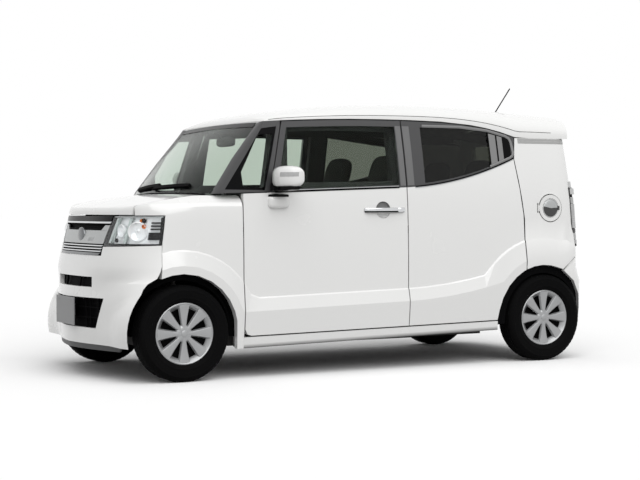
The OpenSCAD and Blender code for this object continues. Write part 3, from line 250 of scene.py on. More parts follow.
def finish(name, colour, rough, metal=0.0, coat=0.0, grain=300.0, depth=0.03, tone=0.03, film=0.0,
           cloud=3.0, layers=(), weave=None, **constants):
    material = bpy.data.materials.new(name)
    material.use_nodes = True
    tree = material.node_tree
    shader = tree.nodes["Principled BSDF"]
    place = add(tree, "ShaderNodeTexCoord").outputs["Object"]

    def group(shared):
        node = add(tree, "ShaderNodeGroup", node_tree=shared)
        plug(tree, node.inputs["Place"], place)
        return node

    def drifting(tint):
        return blend(tree, drift, shade(tint, 1 - tone), shade(tint, 1 + tone))

    skin = group(skin_group)
    skin.inputs["Grain"].default_value = grain
    skin.inputs["Cloud"].default_value = cloud
    drift = skin.outputs["Tone"]
    base = drifting(colour)
    gloss = blend(tree, drift, max(0.0, rough - ROUGH_DRIFT), min(1.0, rough + ROUGH_DRIFT), "FLOAT")
    for mask, layer_colour, layer_rough, layer_coat in layers:
        share = mask(tree, place)
        base = blend(tree, share, base, drifting(layer_colour))
        gloss = blend(tree, share, gloss, layer_rough, "FLOAT")
        coat = blend(tree, share, coat, layer_coat, "FLOAT")
    if film:
        share = sums(tree, "MULTIPLY", group(film_group).outputs["Mask"], film, clamp=True)
        base = blend(tree, share, base, DUST)
        gloss = blend(tree, share, gloss, DUST_ROUGH, "FLOAT")
    height = skin.outputs["Height"]
    if weave:
        cloth = group(weave_group)
        cloth.inputs["Threads"].default_value = weave
        height = cloth.outputs["Height"]
        base = blend(tree, height, shade(colour, WEAVE_SHADE), base)
    if depth:
        bump = add(tree, "ShaderNodeBump")
        bump.inputs["Strength"].default_value = depth
        bump.inputs["Distance"].default_value = BUMP_HEIGHT
        plug(tree, bump.inputs["Height"], height)
        plug(tree, shader.inputs["Normal"], bump.outputs["Normal"])
    plug(tree, shader.inputs["Base Color"], base)
    plug(tree, shader.inputs["Roughness"], gloss)
    plug(tree, shader.inputs["Coat Weight"], coat)
    shader.inputs["Metallic"].default_value = metal
    shader.inputs["Coat Roughness"].default_value = COAT_ROUGH
    for label, value in constants.items():
        shader.inputs[label.replace("_", " ")].default_value = value
    return material


print("finish maker ready")

# %% Masks that read the place on the car
BELT_Z, BELT_FRONT, BELT_SLOPE = 1.085, 0.6925, 0.035
PILLAR_X, REAR_SLOPE, REAR_CURVE = -0.2685, 0.05, 0.22
INNER_Y, INNER_LEAN = 0.6675, 0.185
SILL_SHADE_Z, SILL_SHADE_FADE, SILL_SHADE_SLOPE = 0.206, 0.026, 0.02
EDGE = 0.0015


def place_parts(tree, place):
    split = add(tree, "ShaderNodeSeparateXYZ")
    plug(tree, split.inputs[0], place)
    return split.outputs["X"], split.outputs["Y"], split.outputs["Z"]


def above_belt(tree, place):
    x, y, z = place_parts(tree, place)
    ahead_x = sums(tree, "MAXIMUM", x, PILLAR_X)
    line = sums(tree, "MULTIPLY", sums(tree, "SUBTRACT", BELT_FRONT, ahead_x), BELT_SLOPE)
    behind = sums(tree, "MAXIMUM", sums(tree, "SUBTRACT", PILLAR_X, x), 0.0)
    line = sums(tree, "ADD", line, sums(tree, "MULTIPLY", behind, REAR_SLOPE))
    square = sums(tree, "MULTIPLY", behind, behind)
    line = sums(tree, "ADD", line, sums(tree, "MULTIPLY", square, REAR_CURVE))
    line = sums(tree, "ADD", line, BELT_Z)
    return sums(tree, "DIVIDE", sums(tree, "SUBTRACT", z, line), EDGE, clamp=True)


def inner_face(tree, place):
    x, y, z = place_parts(tree, place)
    rise = sums(tree, "MAXIMUM", sums(tree, "SUBTRACT", z, BELT_Z), 0.0)
    wall = sums(tree, "SUBTRACT", INNER_Y, sums(tree, "MULTIPLY", rise, INNER_LEAN))
    inside = sums(tree, "SUBTRACT", wall, sums(tree, "ABSOLUTE", y, 0.0))
    return sums(tree, "DIVIDE", inside, EDGE, clamp=True)


# Painted shade: darkens the foot of the sill, where it turns under away from the light.
def sill_foot_shade(tree, place):
    x, y, z = place_parts(tree, place)
    line = sums(tree, "MULTIPLY", sums(tree, "SUBTRACT", BELT_FRONT, x), SILL_SHADE_SLOPE)
    line = sums(tree, "ADD", line, SILL_SHADE_Z)
    return sums(tree, "DIVIDE", sums(tree, "SUBTRACT", line, z), SILL_SHADE_FADE, clamp=True)


print("masks ready")

# %% [markdown]
# ### Paint, trim, glass, rubber and metal
# The body colour is a plain white with a clear coat: its relief is the faint orange peel of sprayed
# paint. Window frames and posts are satin dark grey, seals and grilles black. Window panes are tinted
# glass, clear with a green cast in front and dark behind. Each has its own grain, which is what tells
# paint from moulded plastic.

# %% Finishes for the car
PAINT = (0.83, 0.83, 0.82)
SASH = (0.034, 0.034, 0.0355)
CABIN_TRIM = (0.045, 0.045, 0.047)
BLACK = (0.003, 0.003, 0.0033)
PAINTED = dict(rough=0.26, coat=0.7, grain=900.0, depth=0.012, tone=0.008)
GLASS = dict(rough=0.02, depth=0.0, tone=0.01, Transmission_Weight=1.0)
SATIN = dict(rough=0.42, coat=0.15, grain=1400.0, depth=0.05, tone=0.05)
paint = finish("white_paint", PAINT, film=0.015, **PAINTED)
door_paint = finish("door_paint", PAINT, film=0.015, **PAINTED,
                    layers=[(above_belt, SASH, 0.42, 0.15), (inner_face, CABIN_TRIM, 0.7, 0.0)])
bumper_paint = finish("bumper_paint", PAINT, film=0.03, **PAINTED)
# The sill's paint carries a layer of painted shade along its foot.
sill_paint_and_shade = finish("sill_paint_and_shade", PAINT, film=0.03, **(PAINTED | {"coat": 0.5}),
                    layers=[(sill_foot_shade, (0.03, 0.03, 0.03), 0.6, 0.0)])
sash = finish("dark_sash", SASH, **SATIN)
pillar_grey = finish("pillar_grey", (0.13, 0.13, 0.131), **SATIN)
black_trim = finish("black_trim", BLACK, 0.60, grain=1600.0, depth=0.04, tone=0.15, film=0.005,
                    Specular_IOR_Level=0.02)
gloss_black = finish("gloss_black", BLACK, 0.16, grain=700.0, depth=0.01, tone=0.1,
                     Specular_IOR_Level=0.07)
cabin_trim = finish("cabin_trim", CABIN_TRIM, 0.72, grain=1200.0, depth=0.25, tone=0.08)
chassis = finish("chassis_coat", (0.016, 0.016, 0.017), 0.75, grain=260.0, depth=0.3, tone=0.2, film=0.25,
                 Specular_IOR_Level=0.25)
rubber = finish("tyre_rubber", (0.0035, 0.0035, 0.0037), 0.70, grain=1100.0, depth=0.06, tone=0.2,
                film=0.005, Specular_IOR_Level=0.03)
cover_silver = finish("wheel_silver", (0.34, 0.345, 0.35), 0.34, metal=0.55, coat=0.3, grain=1500.0,
                      depth=0.02)
steel = finish("satin_steel", (0.32, 0.32, 0.33), 0.38, metal=1.0, grain=900.0, depth=0.05, tone=0.08)
iron = finish("cast_iron", (0.07, 0.068, 0.066), 0.7, metal=0.6, grain=320.0, depth=0.4, tone=0.2, film=0.4)
chrome = finish("chrome", (0.62, 0.63, 0.64), 0.07, metal=1.0, grain=240.0, depth=0.01, tone=0.04)
dark_chrome = finish("dark_chrome", (0.16, 0.165, 0.17), 0.16, metal=1.0, grain=240.0, depth=0.01,
                     tone=0.05)
satin_silver = finish("satin_silver", (0.42, 0.43, 0.43), 0.36, metal=0.7, grain=1300.0)
strip_grey = finish("strip_grey", (0.36, 0.36, 0.355), 0.38, metal=0.3, grain=1300.0)
plate_metal = finish("blank_plate", (0.16, 0.162, 0.165), 0.42, coat=0.2, grain=1000.0, depth=0.04,
                     tone=0.02)
cloth = finish("seat_cloth", (0.055, 0.056, 0.052), 0.92, depth=0.3, tone=0.10, weave=900.0,
               Specular_IOR_Level=0.2)
clear_glass = finish("clear_glass", (0.70, 0.76, 0.71), IOR=1.12, **GLASS)
door_glass = finish("door_glass", (0.64, 0.70, 0.64), IOR=1.15, **GLASS)
dark_glass = finish("dark_glass", (0.16, 0.17, 0.145), IOR=1.30, **(GLASS | {"tone": 0.02}))
lens_glass = finish("lens_glass", (0.97, 0.985, 0.99), IOR=1.30, **(GLASS | {"tone": 0.005}))
red_lens = finish("red_lens", (0.42, 0.010, 0.012), 0.12, coat=0.5, grain=500.0, depth=0.08, tone=0.12)
amber_lens = finish("amber_lens", (0.75, 0.22, 0.02), 0.15, coat=0.4, grain=500.0, depth=0.08, tone=0.1)
smoke_lens = finish("smoke_lens", (0.40, 0.405, 0.40), 0.12, coat=0.6, grain=500.0, depth=0.05, tone=0.08)
print("finishes:", len(bpy.data.materials))

# %% [markdown]
# ## Dressing the solids
# Where a solid's shape is right, it stays and only takes a finish. Its mesh must not be changed, so two
# live modifiers do the shading: Weld joins the loose triangles, and a small node tree smooths all but the
# sharp edges. Doors and fenders have shallow creases, so they count a smaller angle as sharp.

# %% Smooth shading by angle
SMOOTH_DEGREES = 28
smooth_tree, start, end, smooth_keys = new_tree(
    "smooth_by_angle", "GeometryNodeTree", [("Geometry", "Geometry"), ("Angle", "Float")],
    [("Geometry", "Geometry")])
faces = add(smooth_tree, "GeometryNodeSetShadeSmooth", domain="FACE")
edges = add(smooth_tree, "GeometryNodeSetShadeSmooth", domain="EDGE")
turn = add(smooth_tree, "GeometryNodeInputMeshEdgeAngle")
gentle = add(smooth_tree, "FunctionNodeCompare", data_type="FLOAT", operation="LESS_THAN")
plug(smooth_tree, faces.inputs["Geometry"], start.outputs["Geometry"])
plug(smooth_tree, edges.inputs["Geometry"], faces.outputs["Geometry"])
plug(smooth_tree, gentle.inputs[0], turn.outputs["Unsigned Angle"])
plug(smooth_tree, gentle.inputs[1], start.outputs["Angle"])
plug(smooth_tree, edges.inputs["Shade Smooth"], gentle.outputs["Result"])
plug(smooth_tree, end.inputs["Geometry"], edges.outputs["Geometry"])


def smooth(obj, degrees):
    weld = obj.modifiers.new("join_triangles", "WELD")
    weld.merge_threshold = 0.00005
    shading = obj.modifiers.new("smooth_by_angle", "NODES")
    shading.node_group = smooth_tree
    shading[smooth_keys["Angle"]] = math.radians(degrees)


print("smoothing tree ready")

# %% Finishes for the solids
SIDES = ("left", "right")
wearers = [
    (chassis, "underbody front_suspension fuel_tank"), (sill_paint_and_shade, "side_sills"), (steel, "exhaust"),
    (black_trim, "wheel_liners grille cowl antenna wipers"), (gloss_black, "tail_lamps"),
    (cabin_trim, "cabin_frame dashboard steering_wheel"), (cloth, "front_seats rear_seat"),
    (paint, "roof hood tailgate fuel_flap front_fender_* rear_quarter_* mirror_*"),
    (bumper_paint, "front_bumper rear_bumper"), (door_paint, "front_door_* rear_door_*"),
    (sash, "windscreen_posts"), (lens_glass, "headlamps"), (clear_glass, "fixed_glass"),
    (door_glass, "front_door_glass_*"), (dark_glass, "rear_door_glass_* tailgate_glass"),
    (plate_metal, "front_plate rear_plate"), (iron, "engine_block rear_axle knuckle_*"),
    (chrome, "door_handle_*"), (rubber, "tyre_front_* tyre_rear_*"),
    (cover_silver, "wheel_front_* wheel_rear_*"),
]
crisp = {"front_door_*": 9, "rear_door_*": 9, "front_fender_*": 14}
undressed = set(nodes)
for material, names in wearers:
    for name in names.split():
        for node_name in sorted({name.replace("*", hand) for hand in SIDES}):
            solid = nodes[node_name]
            solid.data.materials.clear()
            solid.data.materials.append(material)
            smooth(solid, crisp.get(name, SMOOTH_DEGREES))
            undressed.discard(node_name)
print("dressed:", len(nodes) - len(undressed), "undressed:", sorted(undressed))

# %% [markdown]
# ## Shapes made one by one
# Most trim on a car is a band, a bar or a disc that follows the body. A few small helpers cover them all:
# a loft joins rings of points, a slab is a thin wall between two grids, a sheet is the slab between two
# depths of one grid, a revolve spins a profile about the wheel axis, and a tube follows a path. Points
# are written in millimetres, as on a drawing, and become metres at the end.

# %% Shape helpers
def mix(a, b, t):
    return a + (b - a) * t


def steps(a, b, count):
    return [mix(a, b, k / (count - 1)) for k in range(count)]


def circle(count):
    return [2 * math.pi * k / count for k in range(count)]


def squared(value, power):
    return math.copysign(abs(value) ** (2 / power), value)


def merge(*shapes):
    verts, faces = [], []
    for shape_verts, shape_faces in shapes:
        shift = len(verts)
        verts += list(shape_verts)
        faces += [tuple(k + shift for k in face) for face in shape_faces]
    return verts, faces


def loft(rings, loop=False):
    count = len(rings[0])
    verts = [tuple(point) for ring in rings for point in ring]
    faces = []
    for i in range(len(rings) if loop else len(rings) - 1):
        here = i * count
        there = (i + 1) % len(rings) * count
        for k in range(count):
            n = (k + 1) % count
            faces.append((here + k, here + n, there + n, there + k))
    if not loop:
        faces.append(tuple(range(count)))
        faces.append(tuple(range(len(verts) - count, len(verts))))
    return verts, faces


def slab(outer, inner):
    rows, cols = len(outer), len(outer[0])
    far = rows * cols
    verts = [tuple(p) for grid in (outer, inner) for row in grid for p in row]
    faces = []
    for i in range(rows - 1):
        for k in range(cols - 1):
            a = i * cols + k
            d = a + cols
            faces.append((a, a + 1, d + 1, d))
            faces.append((d + far, d + 1 + far, a + 1 + far, a + far))
    rim = list(range(cols)) + [i * cols + cols - 1 for i in range(1, rows)]
    rim += [(rows - 1) * cols + k for k in range(cols - 2, -1, -1)]
    rim += [i * cols for i in range(rows - 2, 0, -1)]
    for p, q in zip(rim, rim[1:] + rim[:1]):
        faces.append((q, p, p + far, q + far))
    return verts, faces


def sheet(grid, near, far):
    return slab(grid(near), grid(far))


def revolve(profile, count=72):
    rings = [[(r * math.cos(a), y, r * math.sin(a)) for r, y in profile] for a in circle(count)]
    return loft(rings, loop=True)


def tube(path, half_a, half_b=None, sides=10, up=(0, 0, 1)):
    points = [Vector(p) for p in path]
    rings = []
    for i, point in enumerate(points):
        run = (points[min(i + 1, len(points) - 1)] - points[max(i - 1, 0)]).normalized()
        across = run.cross(Vector(up)).normalized()
        lift = across.cross(run)
        rings.append([point + across * half_a * math.cos(t) + lift * (half_b or half_a) * math.sin(t)
                      for t in circle(sides)])
    return loft(rings)


def flip(shape):
    return [(x, -y, z) for x, y, z in shape[0]], shape[1]


def moved(shape, step):
    return [tuple(Vector(p) + Vector(step)) for p in shape[0]], shape[1]


def turned(shape, turn, at):
    return [tuple(Vector(at) + turn @ Vector(p)) for p in shape[0]], shape[1]


print("shape helpers ready")

# %% From a shape to a piece that rides on a body
DOORS_FRONT = ("front_door_left", "front_door_right")
DOORS_REAR = ("rear_door_left", "rear_door_right")
BEVEL_DEGREES = 35


def mesh_from(name, shape, material):
    mesh = bpy.data.meshes.new(name)
    mesh.from_pydata([Vector(p) * MM for p in shape[0]], [], shape[1])
    shell = bmesh.new()
    shell.from_mesh(mesh)
    bmesh.ops.remove_doubles(shell, verts=shell.verts, dist=2e-6)
    bmesh.ops.recalc_face_normals(shell, faces=shell.faces)
    shell.to_mesh(mesh)
    shell.free()
    mesh.materials.append(material)
    return mesh


def set_piece(name, mesh, body, bevel=0.0, degrees=32):
    obj = bpy.data.objects.new(name, mesh)
    scene.collection.objects.link(obj)
    mesh.shade_smooth()
    mesh.set_sharp_from_angle(angle=math.radians(degrees))
    if bevel:
        edge = obj.modifiers.new("rounded_edges", "BEVEL")
        edge.width = bevel * MM
        edge.segments = 2
        edge.limit_method = "ANGLE"
        edge.angle_limit = math.radians(BEVEL_DEGREES)
    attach(obj, body)
    return obj


def piece(name, shape, material, body="body", **options):
    return set_piece(name, mesh_from(name, shape, material), body, **options)


def pair(name, shape, material, bodies=("body", "body"), **options):
    left = piece(name + "_left", shape, material, bodies[0], **options)
    right = piece(name + "_right", flip(shape), material, bodies[1], **options)
    return left, right


print("piece helpers ready")

# %% [markdown]
# ## Copies with Geometry Nodes
# Spokes and tread blocks stand in a ring, the ribs of the tail lamp in a row. Both are one shape,
# repeated by a rule, which is what Geometry Nodes are for. Each tree makes points, sets one copy on each,
# realizes the copies and sets the finish.

# %% Ring and row trees
def copies_tree(name, in_ring):
    tree, start, end, keys = new_tree(
        name, "GeometryNodeTree",
        [("Shape", "Geometry"), ("Count", "Int"), ("Step", "Vector"), ("Finish", "Material")],
        [("Copies", "Geometry")])
    points = add(tree, "GeometryNodePoints")
    plug(tree, points.inputs["Count"], start.outputs["Count"])
    spread = add(tree, "ShaderNodeVectorMath", operation="SCALE")
    plug(tree, spread.inputs[0], start.outputs["Step"])
    plug(tree, spread.inputs["Scale"], add(tree, "GeometryNodeInputIndex").outputs[0])
    setter = add(tree, "GeometryNodeInstanceOnPoints")
    plug(tree, setter.inputs["Points"], points.outputs[0])
    plug(tree, setter.inputs["Instance"], start.outputs["Shape"])
    if in_ring:
        turn = add(tree, "FunctionNodeEulerToRotation")
        plug(tree, turn.inputs[0], spread.outputs[0])
        plug(tree, setter.inputs["Rotation"], turn.outputs[0])
    else:
        plug(tree, points.inputs["Position"], spread.outputs[0])
    real = add(tree, "GeometryNodeRealizeInstances")
    plug(tree, real.inputs[0], setter.outputs[0])
    coat = add(tree, "GeometryNodeSetMaterial")
    plug(tree, coat.inputs["Geometry"], real.outputs[0])
    plug(tree, coat.inputs["Material"], start.outputs["Finish"])
    plug(tree, end.inputs[0], coat.outputs[0])
    return tree, keys


ring_tree = copies_tree("ring_of_copies", True)
row_tree = copies_tree("row_of_copies", False)


def repeated(name, shape, material, count, step, tree_and_keys):
    source = bpy.data.objects.new(name + "_source", mesh_from(name + "_source", shape, material))
    scene.collection.objects.link(source)
    copies = source.modifiers.new("copies", "NODES")
    copies.node_group, keys = tree_and_keys
    copies[keys["Count"]] = count
    copies[keys["Step"]] = step
    copies[keys["Finish"]] = material
    evaluated = source.evaluated_get(bpy.context.evaluated_depsgraph_get())
    mesh = bpy.data.meshes.new_from_object(evaluated)
    mesh.name = name
    bpy.data.objects.remove(source)
    return mesh


def ring_of(name, shape, material, count):
    return repeated(name, shape, material, count, (0.0, 2 * math.pi / count, 0.0), ring_tree)


def row_of(name, shape, material, count, step):
    return repeated(name, shape, material, count, tuple(part * MM for part in step), row_tree)


print("copy trees:", ring_tree[0].name, row_tree[0].name)

# %% [markdown]
# ## The body's form as formulas
# The panels follow a few smooth formulas: half the width by height, the nose and tail outline, the belt
# line under the windows and the gutter above them. Trim that lies on a panel uses the same formulas, so
# it fits without gaps.

# %% Body form
NOSE_S, NOSE_N = 1162.5, 2.9
TAIL_S, TAIL_N = -1407.5, 4.0


def unit(t):
    return min(1.0, max(0.0, t))


def ease(t):
    c = unit(t)
    return c * c * (3 - 2 * c)


def half_w(z):
    over = max(0.0, z - 1085)
    return 713.5 - (min(z, 1085) - 650) ** 2 / 15000 - 0.14 * over - over ** 2 / 8000


def nose_x(z):
    return 1685.5 - (0.26 * (z - 480) if z > 480 else 15 * ((480 - z) / 280) ** 2)


def tail_x(z):
    return -1697.5 + 55 * ease((z - 520) / 90) + 0.085 * max(0, z - 640) + 12 * (max(0, 400 - z) / 170) ** 2


def plan_w(x, z):
    nose = unit((x - NOSE_S) / (nose_x(max(z, 560)) - NOSE_S))
    tail = unit((TAIL_S - x) / (TAIL_S - tail_x(z)))
    return half_w(z) * (1 - nose ** NOSE_N) ** (1 / NOSE_N) * (1 - tail ** TAIL_N) ** (1 / TAIL_N)


def belt_line(x):
    d = max(0.0, -268.5 - x)
    return 1085 + 0.035 * (692.5 - max(x, -268.5)) + 0.05 * d + 0.00022 * d * d


def gutter(x):
    middle = -150.5
    if x > middle:
        return 1540 - 0.000044 * (x - middle) ** 2
    return max(1441.0, 1540 - 40 * ((middle - x) / 759) ** 3.5)


def window_top(x):
    return gutter(x) - mix(44, 24, unit((-408.5 - x) / 500))


def face_x(y, z):
    up = NOSE_S + (nose_x(z) - NOSE_S) * (1 - (abs(y) / half_w(z)) ** NOSE_N) ** (1 / NOSE_N)
    low = nose_x(z) - 80 * (abs(y) / 415) ** 1.6
    return mix(low, up, ease((z - 480) / 190))


print("nose at lamp height:", round(face_x(0, 860), 1), "mm")

# %% Bands on the side and on the nose
def side_path(points, out):
    return [(x, plan_w(x, z) + out, z) for x, z in points]


def side_band(xs, lows, highs, out, thick, rows=2):
    def grid(lift):
        return [side_path([(x, mix(lows(x), highs(x), t)) for x in xs], lift) for t in steps(0, 1, rows)]
    return sheet(grid, out, out - thick)


def window_band(xs, low, high, out, thick, rows):
    return side_band(xs, lambda x: belt_line(x) + low, lambda x: window_top(x) + high, out, thick, rows)


def face_band(half_low, half_high, z0, z1, out, thick, cols=25):
    def grid(lift):
        lines = []
        for t in (0, 0.5, 1):
            z, half = mix(z0, z1, t), mix(half_low, half_high, t)
            lines.append([(face_x(y, z) + lift, y, z) for y in steps(-half, half, cols)])
        return lines
    return sheet(grid, out, out - thick)


print("belt at the rear post:", round(belt_line(-1080)), "mm")

# %% [markdown]
# ## Wheels and tyres
# The tyre is a spun profile: bead, bulging side with two fine ridges, shoulder and a tread with four
# grooves. Blocks round both shoulders come from the ring tree. The silver cover has eight tapered spokes
# with open windows between them and a plain round cap; behind it lies the dark steel disc. Modelled once
# about the origin, the set is copied to the four hubs, and turned half round for the right-hand side.

# %% Tyre
HUB_Y, HUB_Z = 648.0, 278.5
AXLES = {"front": 1222.5, "rear": -1297.5}
side_profile = [(178, 58), (183, 65), (191, 69), (203, 73), (205, 74.6), (207, 73.8), (221, 76.6),
                (236, 77.2), (247, 75.6), (249, 76.4), (251, 74.8), (261, 70.4), (269, 63.5), (274.5, 56),
                (277, 49), (277.6, 42), (270, 41), (270, 34), (278, 33), (278.2, 16), (271, 15), (271, 8),
                (278.4, 7)]
tyre_profile = side_profile + [(r, -y) for r, y in reversed(side_profile)] + [(176, -50), (176, 50)]
tyre_mesh = mesh_from("tyre", revolve(tyre_profile, 96), rubber)
block_line = [(259, 71.6), (268.6, 65), (275, 57), (278.3, 49), (278.3, 43), (273, 42), (262, 66)]
block_shape = loft([[(t, y, r) for r, y in block_line] for t in (-9.0, 9.0)])
tread_mesh = ring_of("tread_blocks", merge(block_shape, flip(block_shape)), rubber, 56)
print("tyre faces:", len(tyre_mesh.polygons), "tread faces:", len(tread_mesh.polygons))

# %% Cover
spoke_table = [(18, 8, 13, 57, 44), (46, 11, 17, 56, 43), (80, 16, 23, 55, 42), (118, 22, 30, 56, 43),
               (148, 28, 36, 58, 45), (167, 32, 39, 60, 47)]
spoke_rings = []
for r, top_half, foot_half, top_y, foot_y in spoke_table:
    half_line = [(foot_half, foot_y), (top_half, top_y), (0.25 * top_half, top_y + 1.6)]
    spoke_rings.append([(-x, y, r) for x, y in half_line] + [(x, y, r) for x, y in reversed(half_line)])
spokes_mesh = ring_of("cover_spokes", loft(spoke_rings), cover_silver, 8)
rim_profile = [(158, 40), (163, 56), (168, 61), (174, 63.5), (178, 61), (179, 50), (176, 38), (170, 20),
               (168, -56), (177, -60), (177, -63), (164, -62), (160, -50), (160, 24)]
ledge_profile = [(167, 60), (146, 41), (144, 36), (160, 36), (168, 44)]
hub_profile = [(0.01, 61), (17, 61), (19.5, 59.5), (20, 57.5), (36, 57.5), (45, 54), (52, 46), (53, 40),
               (0.01, 40)]
disc_profile = [(0.01, 29), (60, 29), (66, 24), (150, 22), (164, 28), (164, 20), (60, 17), (0.01, 17)]
rim_shape = merge(revolve(rim_profile), revolve(ledge_profile), revolve(hub_profile, 48))
rim_mesh = mesh_from("cover_rim", rim_shape, cover_silver)
disc_mesh = mesh_from("steel_disc", revolve(disc_profile, 48), black_trim)
print("spoke faces:", len(spokes_mesh.polygons), "rim faces:", len(rim_mesh.polygons))

# %% Four sets of wheels
wheel_set = [("tyre_dressed_", tyre_mesh, "tyre_", {"degrees": 40}),
             ("tread_blocks_", tread_mesh, None, {}),
             ("cover_rim_", rim_mesh, "wheel_", {}), ("cover_spokes_", spokes_mesh, None, {"bevel": 1.2}),
             ("steel_disc_", disc_mesh, None, {})]
for end_name, axle_x in AXLES.items():
    for hand, sign in zip(SIDES, (1, -1)):
        tag = f"{end_name}_{hand}"
        half_round = Matrix.Rotation(math.pi if hand == "right" else 0.0, 4, "Z")
        on_hub = Matrix.Translation(Vector((axle_x, sign * HUB_Y, HUB_Z)) * MM) @ half_round
        for name, mesh, stands_for, options in wheel_set:
            copy = mesh.copy()
            copy.transform(on_hub)
            wheel_piece = set_piece(name + tag, copy, "wheel_" + tag, **options)
            if stands_for:
                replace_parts(wheel_piece, stands_for + tag)
print("wheels dressed:", len(AXLES) * len(SIDES))

# %% Dark rings inside the arches, as painted shade
# A flat black ring between tyre and arch lip paints the shade inside the arch over the body's white edges,
# and stands in for the black liner.
def arch_shade_ring(x_mid, radii, depth):
    def grid(sink):
        turns = steps(-0.1, math.pi + 0.1, 49)
        return [side_path([(x_mid + r * math.cos(t), HUB_Z + r * math.sin(t)) for t in turns], -sink)
                for r in radii]
    return sheet(grid, depth, depth + 5)


pair("arch_shade_ring_front", arch_shade_ring(AXLES["front"], (304, 341), 58), black_trim)
pair("arch_shade_ring_rear", arch_shade_ring(AXLES["rear"] + 4, (288, 350), 17), black_trim)
print("arch rings made")

# %% [markdown]
# ## Headlamps
# A headlamp is a bright bowl behind a clear lens. The lens follows the car's corner, so its points come
# from the nose formula, run from the grille edge round to the fender. The bowl is the same grid set back.
# In it stand two round reflectors, two upright light guides, amber bulbs and a stack of black louvres,
# and a dark rim closes it all round.

# %% Lamp surface
LAMP_LOW, LAMP_TOP = 777.0, 951.0


def lamp_point(k, z, back=0.0):
    rise = (z - LAMP_LOW) / (LAMP_TOP - LAMP_LOW)
    y_in = mix(360, 408, rise)
    x_end = mix(1348, 1330, rise)
    a_in = math.acos((y_in / half_w(z)) ** (NOSE_N / 2))
    a_end = math.asin(((x_end - NOSE_S) / (nose_x(z) - NOSE_S)) ** (NOSE_N / 2))
    a = mix(a_in, a_end, k)
    x = NOSE_S + (nose_x(z) - NOSE_S) * math.sin(a) ** (2 / NOSE_N)
    y = half_w(z) * math.cos(a) ** (2 / NOSE_N)
    w = ease(k)
    return (x - back * (1 - w), y - back * w, z)


def lamp_frame(k0, k1, z0, z1, front, depth, cols=16, rows=6):
    def grid(back):
        return [[lamp_point(k, mix(max(z0, LAMP_LOW + 9 * k), z1, t), back) for k in steps(k0, k1, cols)]
                for t in steps(0, 1, rows)]
    return sheet(grid, front, front + depth)


lamp_silver = finish("lamp_silver", (0.93, 0.94, 0.95), 0.20, metal=0.2, grain=120.0, depth=0.02,
                     tone=0.06, cloud=30.0)
lens = lamp_frame(0, 1, 0, LAMP_TOP, 0.0, 2.5, 24, 8)
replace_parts(pair("headlamp_lens", lens, lens_glass)[0], "headlamps")
pair("headlamp_bowl", lamp_frame(0.02, 0.98, LAMP_LOW + 3, LAMP_TOP - 3, 34.0, 6.0, 24, 8), lamp_silver)
print("lens verts:", len(lens[0]))

# %% Lamp rim and inside parts
rim_dark = merge(lamp_frame(0.0, 0.018, 0, LAMP_TOP, 3.0, 34), lamp_frame(0.975, 1.0, 0, LAMP_TOP, 3.0, 34),
                 lamp_frame(0, 1, 0, LAMP_LOW + 16, 3.0, 35, 24, 2))
pair("headlamp_rim", rim_dark, gloss_black)
top_strip = lamp_frame(0.02, 0.975, LAMP_TOP - 7, LAMP_TOP - 1, 3.0, 31, 24, 2)
pair("headlamp_top_strip", top_strip, satin_silver)


def guide(k, half):
    corners = [(k - half, 10), (k + half, 10), (k + half, 30), (k - half, 30)]
    return loft([[lamp_point(at, z, back) for at, back in corners]
                 for z in steps(LAMP_LOW + 18, LAMP_TOP - 10, 9)])


guide_finish = finish("light_guide", (0.50, 0.56, 0.54), 0.12, coat=0.5, grain=160.0, depth=0.1, tone=0.2,
                      cloud=40.0)
pair("headlamp_guides", merge(guide(0.075, 0.022), guide(0.36, 0.028)), guide_finish, bevel=2.0)
louvres = merge(*[lamp_frame(0.80, 0.965, z, z + 8, 8, 22) for z in (909, 891, 873)],
                lamp_frame(0.78, 0.965, 816, 858, 10, 22))
pair("headlamp_louvres", louvres, gloss_black)
print("lamp parts made")

# %% Reflectors and bulbs
def lamp_dish(k, z, radius, front, depth):
    middle = Vector(lamp_point(k, z, front))
    out = (Vector(lamp_point(k, z, 0)) - Vector(lamp_point(k, z, 10))).normalized()
    across = out.cross(Vector((0, 0, 1))).normalized()
    lift = across.cross(out)
    profile = [(1, 0), (0.93, 2), (0.85, -0.2 * depth), (0.6, -0.7 * depth), (0.3, -depth),
               (0.26, -0.5 * depth), (0.06, -0.35 * depth), (0.4, -(depth + 2)), (1, -(depth + 2))]
    return loft([[middle + out * d + (across * math.cos(t) + lift * math.sin(t)) * (radius * share)
                  for t in circle(28)] for share, d in profile], loop=True)


dishes = [("reflectors", lamp_silver, (0.22, 866, 40, 12, 18), (0.56, 862, 58, 10, 20)),
          ("amber_bulbs", amber_lens, (0.66, 892, 13, 6, 8), (0.585, 926, 10, 6, 8)),
          ("eyes", gloss_black, (0.20, 812, 12, 6, 8), (0.64, 926, 13, 8, 8))]
for name, material, first, second in dishes:
    pair("headlamp_" + name, merge(lamp_dish(*first), lamp_dish(*second)), material)
print("reflectors and bulbs made")

# %% [markdown]
# ## Grille between the lamps
# From the top: a gloss black bar with a bright edge, a black trapezoid opening, a satin panel whose badge
# place stays bare, three thin bright slats and a dark lower bar. Each is a band bent over the nose
# formula, at its own height.

# %% Grille bands
BOSS_Z = 838
piece("grille_top_bar", face_band(392, 404, 921, 950, 3, 14), gloss_black, bevel=2)
piece("grille_top_edge", face_band(388, 396, 909, 920, 4, 12), chrome, bevel=2)
panel = merge(face_band(350, 356, 790, 812, 0, 12), face_band(356, 371, 812, 868, 0, 12))
piece("grille_panel", panel, satin_silver, bevel=2)


def wing_grid(sink):
    lines = []
    for t in (0, 0.5, 1):
        z = mix(868, 899, t)
        ys = steps(mix(292, 330, t), mix(372, 384, t), 5)
        lines.append([(face_x(y, z) - sink, y, z) for y in ys])
    return lines


